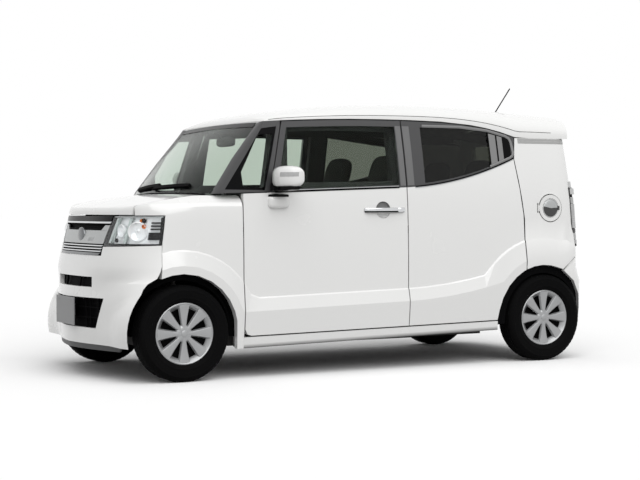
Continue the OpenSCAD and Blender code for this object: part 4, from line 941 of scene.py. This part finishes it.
pair("grille_panel_wing", sheet(wing_grid, 0, 10), satin_silver, bevel=2)
boss_profile = ((1.0, -6.0), (1.0, 1.0), (0.94, 5.0), (0.80, 8.0), (0.50, 10.0), (0.15, 11.0))
boss_rings = [[(face_x(0, BOSS_Z) + out, 58 * share * math.cos(t), BOSS_Z + 47 * share * math.sin(t))
               for t in circle(40)] for share, out in boss_profile]
piece("grille_bare_boss", loft(boss_rings), dark_chrome, degrees=60)
slats = [face_band(half, half + 3, z, z + 7, 1, 14) for half, z in ((346, 776), (344, 760), (342, 744))]
piece("grille_slats", merge(*slats), chrome, bevel=1.5)
piece("grille_lower_bar", face_band(318, 344, 723, 739, 2, 16), dark_chrome, bevel=3)
print("grille bands made")

# %% [markdown]
# ## Bumper openings
# The slot and the lower opening are black holes with thin dividers. Uprights and level ribs both follow
# the bow of the nose, so each is made from the nose formula. The plate carrier keeps a bare, rimmed
# plate, and a dark lip runs under the bumper.

# %% Ribs in the openings
def rib(y, z0, z1, set_back, half=3.0):
    corners = [(0, -half), (0, half), (12, half), (12, -half)]
    return loft([[(face_x(y, z) - set_back - deep, y + wide, z) for deep, wide in corners]
                 for z in steps(z0, z1, 6)])


lower_ribs = merge(*[rib(y, 298, 478, 14) for y in (-345, -262, -215, 215, 262, 345)],
                   *[face_band(half, half, z, z + 5, -13, 10) for half, z in ((352, 357), (376, 417))])
piece("lower_grille_ribs", lower_ribs, black_trim, bevel=1)
piece("slot_dividers", merge(*[rib(y, 537, 599, 12, 5) for y in (-118, 118)]), black_trim, bevel=1)
print("rib points:", len(lower_ribs[0]))

# %% Plate rim and lip
def plate_rim(x, z_mid, depth):
    loop = [(-163, -80.5), (163, -80.5), (163, 80.5), (-163, 80.5)]
    return loft([[(x + out, y * wide, z_mid + z * high) for y, z in loop]
                 for out, wide, high in ((0, 1, 1), (depth, 0.985, 0.97), (0, 0.965, 0.93))])


piece("front_plate_rim", plate_rim(1697.4, 392, 0.9), plate_metal)
lip_grey = finish("lip_grey", (0.040, 0.040, 0.041), 0.5, grain=1400.0, depth=0.06, tone=0.1)
piece("bumper_lip", face_band(520, 545, 172, 207, -5, 12, 41), lip_grey, bevel=3)
print("plate rim and lip made")

# %% [markdown]
# ## Door mirrors
# A mirror housing is a soft pebble: flat behind for the glass, full in front. It is lofted from rounded
# sections that swell from the arm outwards, then turned a little, as the real one faces the driver. A
# clear turn lamp lies on its front, and a black foot carries it. The same points, mirrored, give the
# right-hand one.

# %% Mirror sections
MIRROR_AT = Vector((572.0, 716.0, 1112.0))
MIRROR_TURN = Matrix.Rotation(math.radians(9), 3, "Z")
MIRROR_MID, MIRROR_POWER = 65.0, 3.4
mirror_sections = [(0, 84, 38), (4, 98, 50), (14, 112, 59), (50, 115, 64), (90, 109, 65), (120, 98, 64),
                   (145, 82, 60), (162, 62, 53), (173, 40, 43), (179, 18, 30)]


def mirror_half(y):
    for (y0, a0, b0), (y1, a1, b1) in zip(mirror_sections, mirror_sections[1:]):
        if y <= y1:
            return mix(a0, a1, (y - y0) / (y1 - y0)), mix(b0, b1, (y - y0) / (y1 - y0))
    return mirror_sections[-1][1:]


def mirror_place(x, y, z, front):
    slope = 10 * unit((z - 80) / 60) * front
    return tuple(MIRROR_AT + MIRROR_TURN @ Vector((x - slope, y, z)))


def mirror_ring(y, a, b):
    ring = []
    for t in circle(36):
        x = a / 2 + a / 2 * squared(math.cos(t), MIRROR_POWER)
        z = MIRROR_MID + b * squared(math.sin(t), MIRROR_POWER)
        ring.append(mirror_place(x, y, z, math.cos(t) > 0))
    return ring


housing = loft([mirror_ring(*section) for section in mirror_sections])
shells = pair("mirror_shell", housing, paint, DOORS_FRONT, degrees=50)
for hand, shell_piece in zip(SIDES, shells):
    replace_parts(shell_piece, "mirror_" + hand)
print("mirror verts:", len(housing[0]))

# %% Mirror lamp, glass and foot
def mirror_patch(ys, zs, facing, out, thick):
    def spot(y, z, lift):
        a, b = mirror_half(y)
        bulge = (1 - min(1.0, abs(z - MIRROR_MID) / b) ** MIRROR_POWER) ** (1 / MIRROR_POWER)
        return mirror_place(a / 2 + facing * (a / 2 * bulge + lift), y, z, facing > 0)
    return sheet(lambda lift: [[spot(y, z, lift) for y in ys] for z in zs], out, out - thick)


turn_finish = finish("turn_lamp", (0.44, 0.44, 0.44), 0.10, coat=0.5, grain=120.0, depth=0.2, tone=0.25,
                     cloud=60.0)
turn_lamp = mirror_patch(steps(88, 174, 14), steps(66, 92, 5), 1, 1.6, 4)
pair("mirror_turn_lamp", turn_lamp, turn_finish, DOORS_FRONT, bevel=1)
mirror_glass = finish("mirror_glass", (0.72, 0.74, 0.75), 0.02, metal=1.0, grain=40.0, depth=0.002,
                      tone=0.01)
mirror_pane = mirror_patch(steps(10, 156, 12), steps(12, 118, 8), -1, 0.8, 3)
pair("mirror_pane", mirror_pane, mirror_glass, DOORS_FRONT)
foot_rows = ((698.2, 578, 668, 1098, 1146), (715, 580, 668, 1094, 1140), (738, 578, 672, 1093, 1126),
             (800, 570, 668, 1095, 1122), (850, 562, 650, 1098, 1122), (878, 560, 620, 1104, 1124))
foot_rings = [[(x0, y, z0), (x1, y, z0), (x1, y, z1), (x0, y, z1)] for y, x0, x1, z0, z1 in foot_rows]
pair("mirror_foot", loft(foot_rings), gloss_black, DOORS_FRONT, bevel=6)
print("mirror lamp, pane and foot made")

# %% [markdown]
# ## Small pod under the left mirror
# Under the left mirror sits a small rounded pod with a black cap, which shows the driver the front wheel.
# It is a loft of rounded boxes from the door skin outwards, with the cap as a second loft on its top.

# %% Pod
POD_X, ROUND_POWER = 622, 4.0


def rounded_ring(x_mid, half_x, y, z_mid, half_z):
    return [(x_mid + half_x * squared(math.cos(t), ROUND_POWER), y,
             z_mid + half_z * squared(math.sin(t), ROUND_POWER)) for t in circle(28)]


pod_rows = ((699, 68, 1032, 40), (712, 68, 1032, 40), (722, 66, 1032, 38), (730, 60, 1031, 33),
            (735, 48, 1030, 25), (737, 30, 1030, 14))
cap_rows = ((699, 64, 1068, 10), (714, 64, 1068, 10), (726, 60, 1068, 9), (733, 50, 1068, 6))
lofts = (("wheel_view_pod", pod_rows, paint), ("wheel_view_cap", cap_rows, gloss_black))
for name, rows, material in lofts:
    rings = [rounded_ring(POD_X, half_x, y, z_mid, half_z) for y, half_x, z_mid, half_z in rows]
    piece(name, loft(rings), material, "front_door_left", degrees=50)
print("pod made")

# %% [markdown]
# ## Door handles
# A bright bar stands over a round cup. The bar is a tube with a flattened section, bent down to the door
# at both ends, with a black tube under it as painted shade and a lock cap behind. The cup is a bowl that
# ends exactly on the curved skin, painted as a shaded copy of the paint in its upper half and a lit copy in
# its lower half.

# %% Handle bar and lock cap
HANDLE_X, HANDLE_Z = -92.5, 981.0
skin_y = half_w(HANDLE_Z)
bar_path = ((36, 3), (30, 10), (16, 15), (-40, 17.5), (-100, 18), (-150, 17), (-182, 13), (-196, 8))
cap_path = ((-190, 9), (-205, 13), (-228, 11), (-240, 5))


def along_handle(path, rise, sink=0.0):
    return [(x, skin_y + out - sink, HANDLE_Z + rise) for x, out in path]


bar = tube(along_handle(bar_path, 3), 6.5, 11.0, sides=20)
bars = pair("handle_bar", bar, chrome, DOORS_FRONT, degrees=60)
for hand, bar_piece in zip(SIDES, bars):
    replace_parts(bar_piece, "door_handle_" + hand)
# Painted shade: a black tube under the bar stands for the shade along its lower edge.
under_bar_shade = tube(along_handle(bar_path, -9, 1.5), 6.0, sides=14)
pair("handle_underside_shade", under_bar_shade, gloss_black, DOORS_FRONT, degrees=60)
lock_cap = tube(along_handle(cap_path, 1), 7, 14, sides=20)
pair("handle_lock_cap", lock_cap, chrome, DOORS_FRONT, degrees=60, bevel=1.5)
print("handle bars:", [bar_piece.name for bar_piece in bars])

# %% Handle cup
cup_profile = [(51.6, -0.4), (51.2, -8), (48.5, -14), (40, -17.5), (20, -19), (0.01, -19.3)]


def half_cup(start):
    def grid(sink):
        rings = []
        for r, depth in cup_profile:
            spots = [(HANDLE_X + r * math.cos(t), HANDLE_Z + r * math.sin(t))
                     for t in steps(start, start + math.pi, 21)]
            share = unit((r - 40) / 12)
            rings.append([(x, mix(skin_y, half_w(z), share) + depth - sink, z) for x, z in spots])
        return rings
    return sheet(grid, 0, 0.6)


# Painted light and shade: the cup's halves are a lit and a shaded copy of the paint, the upper half grey as
# painted shade, the lower half paler as painted light.
cup_lit_paint = finish("cup_lit_paint", (0.58, 0.58, 0.575), 0.3, coat=0.5, grain=900.0, depth=0.012, tone=0.02)
cup_shaded_paint = finish("cup_shaded_paint", (0.20, 0.20, 0.20), 0.40, coat=0.2, grain=900.0, tone=0.04)
pair("handle_cup_upper_shaded", half_cup(0), cup_shaded_paint, DOORS_FRONT, degrees=60)
pair("handle_cup_lower_lit", half_cup(math.pi), cup_lit_paint, DOORS_FRONT, degrees=60)
print("cup rings:", len(cup_profile))

# %% [markdown]
# ## Window trim
# A black seal runs along the foot of each window with a thin bright lip. Behind the rear pane, a grey
# frame with two slats fills the corner and tapers to a point. The roof's grey strip carries the window
# line on to the tail. All of these are bands on the side formula, so they lie on the panels however the
# panels curve.

# %% Belt seals and lips
belt_rows = [("front_belt_seal", (640, -214, 24), -2, 9, 2.2, 5, black_trim, DOORS_FRONT, 1),
             ("front_belt_lip", (560, -210, 24), 9.2, 13, 1.8, 4, satin_silver, DOORS_FRONT, 0),
             ("rear_belt_seal", (-330, -1085, 40), -2, 7, 2.2, 5, black_trim, DOORS_REAR, 1),
             ("rear_belt_lip", (-330, -1080, 40), -6.5, -2.4, 1.8, 4, satin_silver, DOORS_REAR, 0)]
for name, span, low, high, out, thick, material, doors, bevel in belt_rows:
    belt = side_band(steps(*span), lambda x: belt_line(x) + low, lambda x: belt_line(x) + high, out, thick)
    pair(name, belt, material, doors, bevel=bevel)
print("belt bands:", len(belt_rows))

# %% Rear corner frame, roof strip and pillar panels
frame_grey = finish("frame_grey", (0.20, 0.20, 0.20), 0.40, coat=0.2, grain=1400.0, depth=0.05, tone=0.04)
pair("corner_black", window_band(steps(-905, -1072, 10), 10, 2, 0.8, 4, 4), gloss_black, DOORS_REAR)
slats = merge(*[window_band(steps(x0, x1, 4), 26, -10, 3.2, 3, 4)
                for x0, x1 in ((-912, -962), (-974, -1012))])
pair("corner_slats", slats, frame_grey, DOORS_REAR, bevel=1.5)
over_pane = ((-420, 8), (-700, 8), (-900, 8), (-1040, 5), (-1066, -2), (-1078, -18))
under_pane = ((-1090, 34), (-1082, 22), (-1060, 15), (-900, 15))
rear_edge = [(x, window_top(x) + rise) for x, rise in over_pane] + [(-1086, 1360)]
rear_edge += [(x, belt_line(x) + rise) for x, rise in under_pane]
corner_frame = tube(side_path(rear_edge, 1.5), 9, 3.0, sides=8, up=(0, 1, 0))
pair("corner_frame", corner_frame, frame_grey, DOORS_REAR, degrees=50)
strips = merge(*[side_band(steps(-1136, -1546, 30), lambda x: z0, lambda x: z0 + 15, 1.4, 3)
                 for z0 in (1407, 1424)])
pair("roof_edge_strip", strips, strip_grey, bevel=1)
for name, x0, x1, doors in (("front", -224, -262, DOORS_FRONT), ("rear", -275, -324, DOORS_REAR)):
    panel = window_band(steps(x0, x1, 4), 12, 4, 1.2, 3, 8)
    pair(name + "_pillar_panel", panel, pillar_grey, doors, bevel=1)
print("corner trim, strip and panels made")

# %% [markdown]
# ## Borders and linings seen through the glass
# The small fixed pane has a broad black border, and behind it stands a deep post. Inside the doors, under
# the roof edge and behind the middle posts lie dark linings, so that through the glass one sees a dark
# cabin with the far windows in it, and no light between panel and panel.

# %% Quarter light border and post
pane_edge = [(703, 1098), (840, 1099), (966, 1101), (847, 1262), (697, 1470), (592, 1484), (703, 1098)]
clear_edge = [(712, 1114), (790, 1113), (843, 1116), (849, 1206), (720, 1430), (622, 1434), (712, 1114)]


def fine_line(points, parts=6):
    line = [(mix(x0, x1, k / parts), mix(z0, z1, k / parts))
            for (x0, z0), (x1, z1) in zip(points, points[1:]) for k in range(parts)]
    return line + [points[-1]]


def flat_ring(outer, inner, out, thick):
    def grid(lift):
        rings = [[(mix(x0, x1, t), mix(z0, z1, t)) for (x0, z0), (x1, z1) in zip(outer, inner)]
                 for t in (0, 0.5, 1)]
        return [side_path(fine_line(ring), lift) for ring in rings]
    return sheet(grid, out, out - thick)


def post_grid(back):
    line = [(x - back, z) for x, z in fine_line([(703, 1092), (615, 1474)], 10)]
    return [side_path(line, out) for out in (-37, -62, -86)]


pair("quarter_light_border", flat_ring(pane_edge, clear_edge, -5.3, 0.5), gloss_black)
pair("quarter_light_post", sheet(post_grid, 0, 34), cabin_trim)
print("quarter light borders made")

# %% Linings round the windows
trim_edge = [(640, 1080), (200, 1096), (-232, 1112), (-232, 1500), (200, 1500), (530, 1492), (612, 1200),
             (640, 1080)]
trim_open = [(526, 1146), (200, 1150), (-204, 1158), (-204, 1462), (200, 1466), (500, 1452), (522, 1200),
             (526, 1146)]
pair("door_inner_trim", flat_ring(trim_edge, trim_open, -56, 6), cabin_trim, DOORS_FRONT)


def rail_top(x):
    return gutter(x) + 30 * unit((640 - x) / 200) * unit((x + 1500) / 200)


rail = side_band(steps(672, -1480, 44), lambda x: window_top(x) + 14, rail_top, -50, 4, 4)
pillar = window_band(steps(-205, -284, 6), -60, 20, -78, 6, 8)
pair("roof_rail_lining", merge(rail, pillar), cabin_trim)
print("linings made")

# %% [markdown]
# ## Fuel lid
# The lid is a round disc with a dish to pull it by. The lid itself is a solid, so the dish is built on
# it: a fine ring, a lower half in dark painted shade, a swelling grey upper half as painted light and a
# small tab at the rear.

# %% Dish on the lid
LID_X, LID_Z, DISH_R = -1347.5, 988.0, 56.0
lid_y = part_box("fuel_flap")[1][1] / MM


def half_dish(start, stop, rise):
    rings = []
    profile = ((1.0, 0.05), (0.985, 0.5 * rise), (0.94, rise), (0.6, rise * 1.5), (0.002, rise * 1.8))
    for share, lift in profile:
        r = DISH_R * share
        rings.append([(LID_X + r * math.cos(t), lid_y + lift, LID_Z + r * math.sin(t))
                      for t in steps(start, stop, 24)])
    return slab(rings, [[(x, lid_y + 0.02, z) for x, y, z in ring] for ring in rings])


ring_profile = [(DISH_R + 3.0, 0.02), (DISH_R + 2.6, 1.2), (DISH_R + 0.6, 1.4), (DISH_R, 0.02)]
lid_ring = moved(revolve(ring_profile, 64), (LID_X, lid_y, LID_Z))
piece("fuel_lid_ring", lid_ring, satin_silver, "fuel_flap")
# Painted light and shade: the dish's lower half is dark as painted shade, its grey upper half lighter as
# painted light. The same dark finish also serves the black tab and a dark tail lamp block.
dark_and_painted_shade = finish("dark_and_painted_shade", (0.026, 0.026, 0.026), 0.3, coat=0.2, grain=600.0, depth=0.04, tone=0.1)
piece("fuel_lid_shaded_half", half_dish(math.pi - 0.05, 2 * math.pi + 0.2, 0.8), dark_and_painted_shade, "fuel_flap")
piece("fuel_lid_lit_half", half_dish(0.2, math.pi - 0.05, 2.4), satin_silver, "fuel_flap")
tab = loft([[(x, y, z) for x, y in ((-12, 0.1), (4, 0.1), (4, 3.2), (-12, 3.2))] for z in (-12, 14)])
tab = moved(tab, (LID_X - DISH_R - 2, lid_y, LID_Z))
piece("fuel_lid_tab", tab, dark_and_painted_shade, "fuel_flap", bevel=1.2)
print("lid face at", round(lid_y, 1), "mm")

# %% [markdown]
# ## Tail lamps
# A tail lamp is a tall stack on the rear corner: blocks of clear, smoked and red plastic with black
# joints. The solid lamp stays as the black case. The blocks are bands on the corner's curve, each
# standing out by its own amount and sinking in towards the side of the car, which is what makes the stack
# look built and not painted.

# %% Points on the rear corner
GATE_EDGE = 592.0


def corner_point(t, z, out=0.0):
    reach = (1 - (GATE_EDGE / half_w(z)) ** TAIL_N) ** (1 / TAIL_N)
    length = TAIL_S - tail_x(z)
    x = TAIL_S - length * t * reach
    y = plan_w(x, z)
    backward = ((TAIL_S - x) / length) ** 3 / length
    outward = (y / half_w(z)) ** 3 / half_w(z)
    lean = Vector((-backward, outward, 0)).normalized()
    return (x + lean.x * out, y + lean.y * out, z)


def corner_block(t0, t1, z0, z1, out, thick, cols=14):
    def grid(sink):
        lifts = [(t, out * mix(0.35, 1.0, ease((t - 0.65) / 0.14))) for t in steps(t0, t1, cols)]
        return [[corner_point(t, z, lift - sink) for t, lift in lifts] for z in (z0, z1)]
    return sheet(grid, 0, thick)


print("corner at lamp height:", [round(part) for part in corner_point(0.9, 950)])

# %% Lamp blocks
RIBS = 13
MOULDED = dict(coat=0.6, grain=90.0, depth=0.25, cloud=50.0)
grey_lens = finish("grey_lens", (0.42, 0.42, 0.42), 0.16, tone=0.2, **MOULDED)
pale_lens = finish("pale_lens", (0.55, 0.555, 0.55), 0.12, tone=0.15, **MOULDED)
lamp_stack = [("cap", 1124, 1162, 12.0, pale_lens), ("turn_block", 1078, 1117, 26.0, pale_lens),
              ("upper_block", 1018, 1058, 18.0, smoke_lens), ("long_block", 856, 1016, 21.0, grey_lens),
              ("dark_block", 826, 853, 18.0, dark_and_painted_shade), ("lower_block", 783, 824, 19.0, smoke_lens),
              ("foot_block", 755, 781, 22.0, grey_lens)]
for label, z0, z1, out, lens_finish in lamp_stack:
    pair("tail_lamp_" + label, corner_block(0.675, 0.99, z0, z1, out, out + 3), lens_finish, bevel=1.5)
case = merge(corner_block(0.658, 0.985, 738, 1122, 15, 18), corner_block(0.658, 0.985, 738, 753, 20, 23))
pair("tail_lamp_case", case, gloss_black, bevel=1.0)
pair("tail_lamp_red", corner_block(0.89, 0.985, 862, 1010, 22.2, 3, 6), red_lens, bevel=1.0)
rib_shape = corner_block(0.685, 0.875, 862, 866, 22.4, 3, 8)
for name, shape, inward in (("tail_lamp_ribs_left", rib_shape, -0.45),
                            ("tail_lamp_ribs_right", flip(rib_shape), 0.45)):
    set_piece(name, row_of(name, shape, pale_lens, RIBS, (1.0, inward, 12.0)), "body")
print("tail lamp blocks:", len(lamp_stack))

# %% [markdown]
# ## Tail lid trim
# The lid has a bar with a grip above the plate, a high lamp over the window and a wiper on the pane. They
# are bands on the tail formula. The rear plate gets the same rolled rim as the front one, and stays
# blank.

# %% Bands on the tail lid
def tail_face_x(y, z):
    return TAIL_S - (TAIL_S - tail_x(z)) * (1 - (abs(y) / plan_w(TAIL_S, z)) ** TAIL_N) ** (1 / TAIL_N)


def tail_band(half, z0, z1, out, thick):
    def grid(lift):
        return [[(tail_face_x(y, z) - lift, y, z) for y in steps(-half, half, 19)]
                for z in steps(z0, z1, 3)]
    return sheet(grid, out, out - thick)


piece("tail_grip_bar", tail_band(330, 800, 846, 9, 10), paint, "tailgate", bevel=5)
piece("tail_grip_shadow", tail_band(300, 793, 800, 6, 8), black_trim, "tailgate", bevel=1)
piece("high_lamp", tail_band(130, 1446, 1462, 3, 6), red_lens, "tailgate", bevel=2)
# Painted light and shade: a satin silver band stands for the crease across the lid.
piece("tail_crease_light_and_shade", tail_band(540, 1064, 1076, 2.5, 5), satin_silver, "tailgate", bevel=2)
print("tail lid bands made")

# %% Rear plate rim and wiper
WIPER_Z, STUB_Z = 1152.0, 1122
rear_rim_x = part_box("rear_plate")[0][0] / MM
piece("rear_plate_rim", plate_rim(rear_rim_x + 0.4, 700, -0.9), plate_metal, "tailgate")
blade_line = [(y, WIPER_Z + 0.05 * abs(y)) for y in steps(20, -270, 12)]
blade = tube([(tail_face_x(y, z) - 6, y, z) for y, z in blade_line], 5, 7)
stub_x = tail_face_x(0, STUB_Z)
stub = tube([(stub_x + 2, 0, STUB_Z), (stub_x - 12, 0, STUB_Z)], 19, sides=18)
arm = tube([(stub_x - 11, 0, STUB_Z), (tail_face_x(0, 1140) - 13, -60, 1140),
            (tail_face_x(0, 1154) - 9, -130, 1158)], 6, 9)
piece("tail_wiper", merge(blade, stub, arm), black_trim, "tailgate", degrees=50)
print("rear plate at", round(rear_rim_x, 1), "mm")

# %% [markdown]
# ## Padded seats
# Seats are soft, so they are not boxes: each cushion is a crowned, closed form whose sides pull in
# between the corners, with sewn grooves that part the middle from the side rolls. A cube of fine squares
# is blown up to a rounded block, then its points are moved: crown, waist and grooves. Cushion, back and
# head rest replace the plain solids. Backs and head rests stand higher than those, as in the picture.

# %% Soft block
def soft_block(low, high, crown, groove=0.0, lines=(), power=5.0, cells=20):
    middle = [(a + b) / 2 for a, b in zip(low, high)]
    half = [(b - a) / 2 for a, b in zip(low, high)]
    verts, faces = [], []
    spans = [-math.cos(math.pi * k / cells) for k in range(cells + 1)]
    for axis, end in [(axis, end) for axis in range(3) for end in (-1.0, 1.0)]:
        shift = len(verts)
        for u, v in [(u, v) for u in spans for v in spans]:
            p = [u, v]
            p.insert(axis, end)
            size = sum(abs(c) ** power for c in p) ** (1 / power)
            x, y, z = (c / size for c in p)
            waist = 1 - 0.05 * (1 - x * x) * (1 - z * z)
            dip = groove * max([math.exp(-((y - line) / 0.035) ** 2) for line in lines] or [0.0])
            rise = (crown * (1 - x * x) * (1 - y * y) - dip * (1 - x ** 6)) * max(0.0, z)
            verts.append((middle[0] + half[0] * x, middle[1] + half[1] * y * waist,
                          middle[2] + half[2] * z + rise))
        for i, k in [(i, k) for i in range(cells) for k in range(cells)]:
            a = shift + i * (cells + 1) + k
            faces.append((a, a + 1, a + cells + 2, a + cells + 1))
    return verts, faces


print("soft block points:", len(soft_block((0, 0, 0), (1, 1, 1), 0.1)[0]))

# %% Seats
BACK_LEAN = Matrix.Rotation(math.radians(-16), 3, "Y")
STAND_UP = Matrix.Rotation(math.radians(90), 3, "Y")
SEAT_LINES = (-0.56, 0.0, 0.56)
TALLER_BACK, RAISED = 60.0, 130.0
FRONT_SEAT_X = -38.5
REAR_SEAT_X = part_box("rear_seat")[1][0] / MM - 440


def soft_piece(name, shape):
    pad = piece(name, shape, cloth, "body", degrees=75)
    return pad


def seat_set(name, node, x, y0, y1, back_h):
    back_at = (x - 40, 0, 490)
    middle = (y0 + y1) / 2
    floor_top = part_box(node)[0][2] / MM

    def leaned(shape):
        return turned(turned(shape, STAND_UP, (0, 0, 0)), BACK_LEAN, back_at)

    cushion = soft_block((x - 56, y0 + 3, 436), (x + 437, y1 - 3, 546), 14, 9, SEAT_LINES)
    back = leaned(soft_block((-back_h - TALLER_BACK, y0 + 3, -96), (-34, y1 - 3, 18), 12, 9, SEAT_LINES))
    rest = leaned(soft_block((-back_h - 188 - RAISED, middle - 145, -80),
                             (-back_h + 45 - RAISED, middle + 145, 6), 6, power=3.2))
    rods = merge(*[tube([(-35, y, back_h - 8), (-35, y, back_h + 48 + RAISED)], 6, up=(1, 0, 0))
                   for y in (middle - 60, middle + 60)])
    rods = turned(rods, BACK_LEAN, back_at)
    plinth_rows = ((floor_top, 0), (floor_top + 30, -8), (432, -2))
    plinth = loft([[(x - 40 - g, y0 + 20 - g, z), (x + 380 + g, y0 + 20 - g, z),
                    (x + 380 + g, y1 - 20 + g, z), (x - 40 - g, y1 - 20 + g, z)] for z, g in plinth_rows])
    for hand in SIDES:
        on_side = flip if hand == "right" else (lambda shape: shape)
        pad = soft_piece(f"{name}_cushion_{hand}", on_side(cushion))
        if hand == "left":
            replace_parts(pad, node)
        soft_piece(f"{name}_back_{hand}", on_side(back))
        soft_piece(f"{name}_head_rest_{hand}", on_side(rest))
        piece(f"{name}_rods_{hand}", on_side(rods), steel, degrees=50)
        piece(f"{name}_plinth_{hand}", on_side(plinth), cabin_trim, bevel=8)


seat_set("front_seat", "front_seats", FRONT_SEAT_X, 60, 550, 560)
seat_set("rear_seat", "rear_seat", REAR_SEAT_X, 8, 520, 540)
print("rear seat at", round(REAR_SEAT_X, 1), "mm")

# %% [markdown]
# ## Roof lining, room mirror and windscreen band
# Looking up through the windows one sees the lining, not bare paint. It is a thin shell just under the
# roof solid, from the same roof formula, which also gives the fine seam along each side of the roof. The
# room mirror hangs from the glass, and a dark band is printed along the top of it.

# %% Roof lining and side seams
ROOF_N, ROOF_T = 2.7, 34.0


def crown_z(x):
    return 1660 - (0.000075 if x > -480.5 else 0.00004) * (x + 480.5) ** 2


def roof_point(k, angle, set_in):
    across = squared(math.cos(angle), ROOF_N)
    back = -1597.5 + 62 * across ** 4
    head = 681.5 - 8 * min(1, (across * 1.1) ** 2)
    x = mix(back, head, k)
    low = gutter(x) + 0.2
    brow = math.sqrt(1 - (1 - unit((head - x) / 120)) ** 2)
    top_z = max(mix(1517, crown_z(x), brow), low + 4)
    rise = (top_z - low - set_in) * abs(math.sin(angle)) ** (2 / ROOF_N)
    return (x, across * (half_w(low) - set_in), low + rise)


def lining_grid(deep):
    turns = steps(math.radians(4), math.radians(176), 31)
    return [[roof_point(k, a, ROOF_T + deep + 14 * (1 - math.sin(a))) for a in turns]
            for k in steps(0.05, 0.99, 28)]


lining_cloth = finish("roof_lining", (0.06, 0.06, 0.058), 0.95, depth=0.35, tone=0.05, grain=700.0)
piece("roof_lining", sheet(lining_grid, 7, 11), lining_cloth, degrees=60)
seam_line = [roof_point(k, math.radians(7), -0.4) for k in steps(0.06, 0.985, 66)]
pair("roof_side_seam", tube(seam_line, 1.3, sides=6), black_trim)
print("roof crown at", round(crown_z(0)), "mm")

# %% Room mirror and windscreen band
def screen_point(v, f, out=0.0):
    low = Vector((1110.5 - 94 * f * f, 620.5 * f, 1091 - 12 * f * f))
    high = Vector((688.5 - 8 * f * f, 545.5 * f, 1512 - 9 * f * f))
    bulge = 4 * v * (1 - v)
    normal = Vector((0.705, 0.0, 0.709))
    return tuple(low.lerp(high, v) + Vector((10, 0, 6)) * bulge + normal * out)


def band_grid(out):
    return [[screen_point(v, f, out) for f in steps(-0.97, 0.97, 25)] for v in (0.935, 0.96, 0.985, 1.0)]


room_rows = ((628, 118, 26), (631, 126, 31), (640, 128, 32), (652, 118, 27), (660, 90, 18))
room_rings = [[(x, y, z) for y, x, z in rounded_ring(0, half_y, x, 1411, half_z)]
              for x, half_y, half_z in room_rows]
stem = tube([(650, 0, 1420), (690, 0, 1452), (722, 0, 1466)], 9, sides=12, up=(0, 1, 0))
piece("room_mirror", merge(loft(room_rings), stem), cabin_trim, degrees=50)
piece("windscreen_band", sheet(band_grid, 2.0, 0.6), gloss_black)
print("windscreen band from", [round(part) for part in screen_point(0.935, 0)])

# %% [markdown]
# ## Steering wheel pad
# The solid wheel has its rim, hub and three spokes. A soft cap on the hub and two thumb grips finish it.
# They are made flat about the column, then leaned with it, and ride on the steering wheel, so they turn
# with the rim.

# %% Pad and grips
STEER_AT = Vector((502.5, -330.0, 955.0))
COLUMN_TURN = Matrix.Rotation(math.radians(114), 3, "Y")
pad_verts, pad_faces = soft_block((-58, -66, -12), (58, 66, 12), 6, power=2.6, cells=14)
pad_shape = [(x, y, -24 - z) for x, y, z in pad_verts], pad_faces
piece("steering_pad", turned(pad_shape, COLUMN_TURN, STEER_AT), cabin_trim, "steering_wheel", degrees=70)
rim_r = (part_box("steering_wheel")[1][1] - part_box("steering_wheel")[0][1]) / 2 / MM - 14


def grip(middle):
    turns = steps(middle - 0.3, middle + 0.3, 9)
    return tube([(rim_r * math.cos(a), rim_r * math.sin(a), 0) for a in turns], 15.6, sides=14)


grips = merge(grip(math.pi / 2), grip(-math.pi / 2))
piece("steering_grips", turned(grips, COLUMN_TURN, STEER_AT), black_trim, "steering_wheel", degrees=60)
print("steering rim radius:", round(rim_r, 1), "mm")
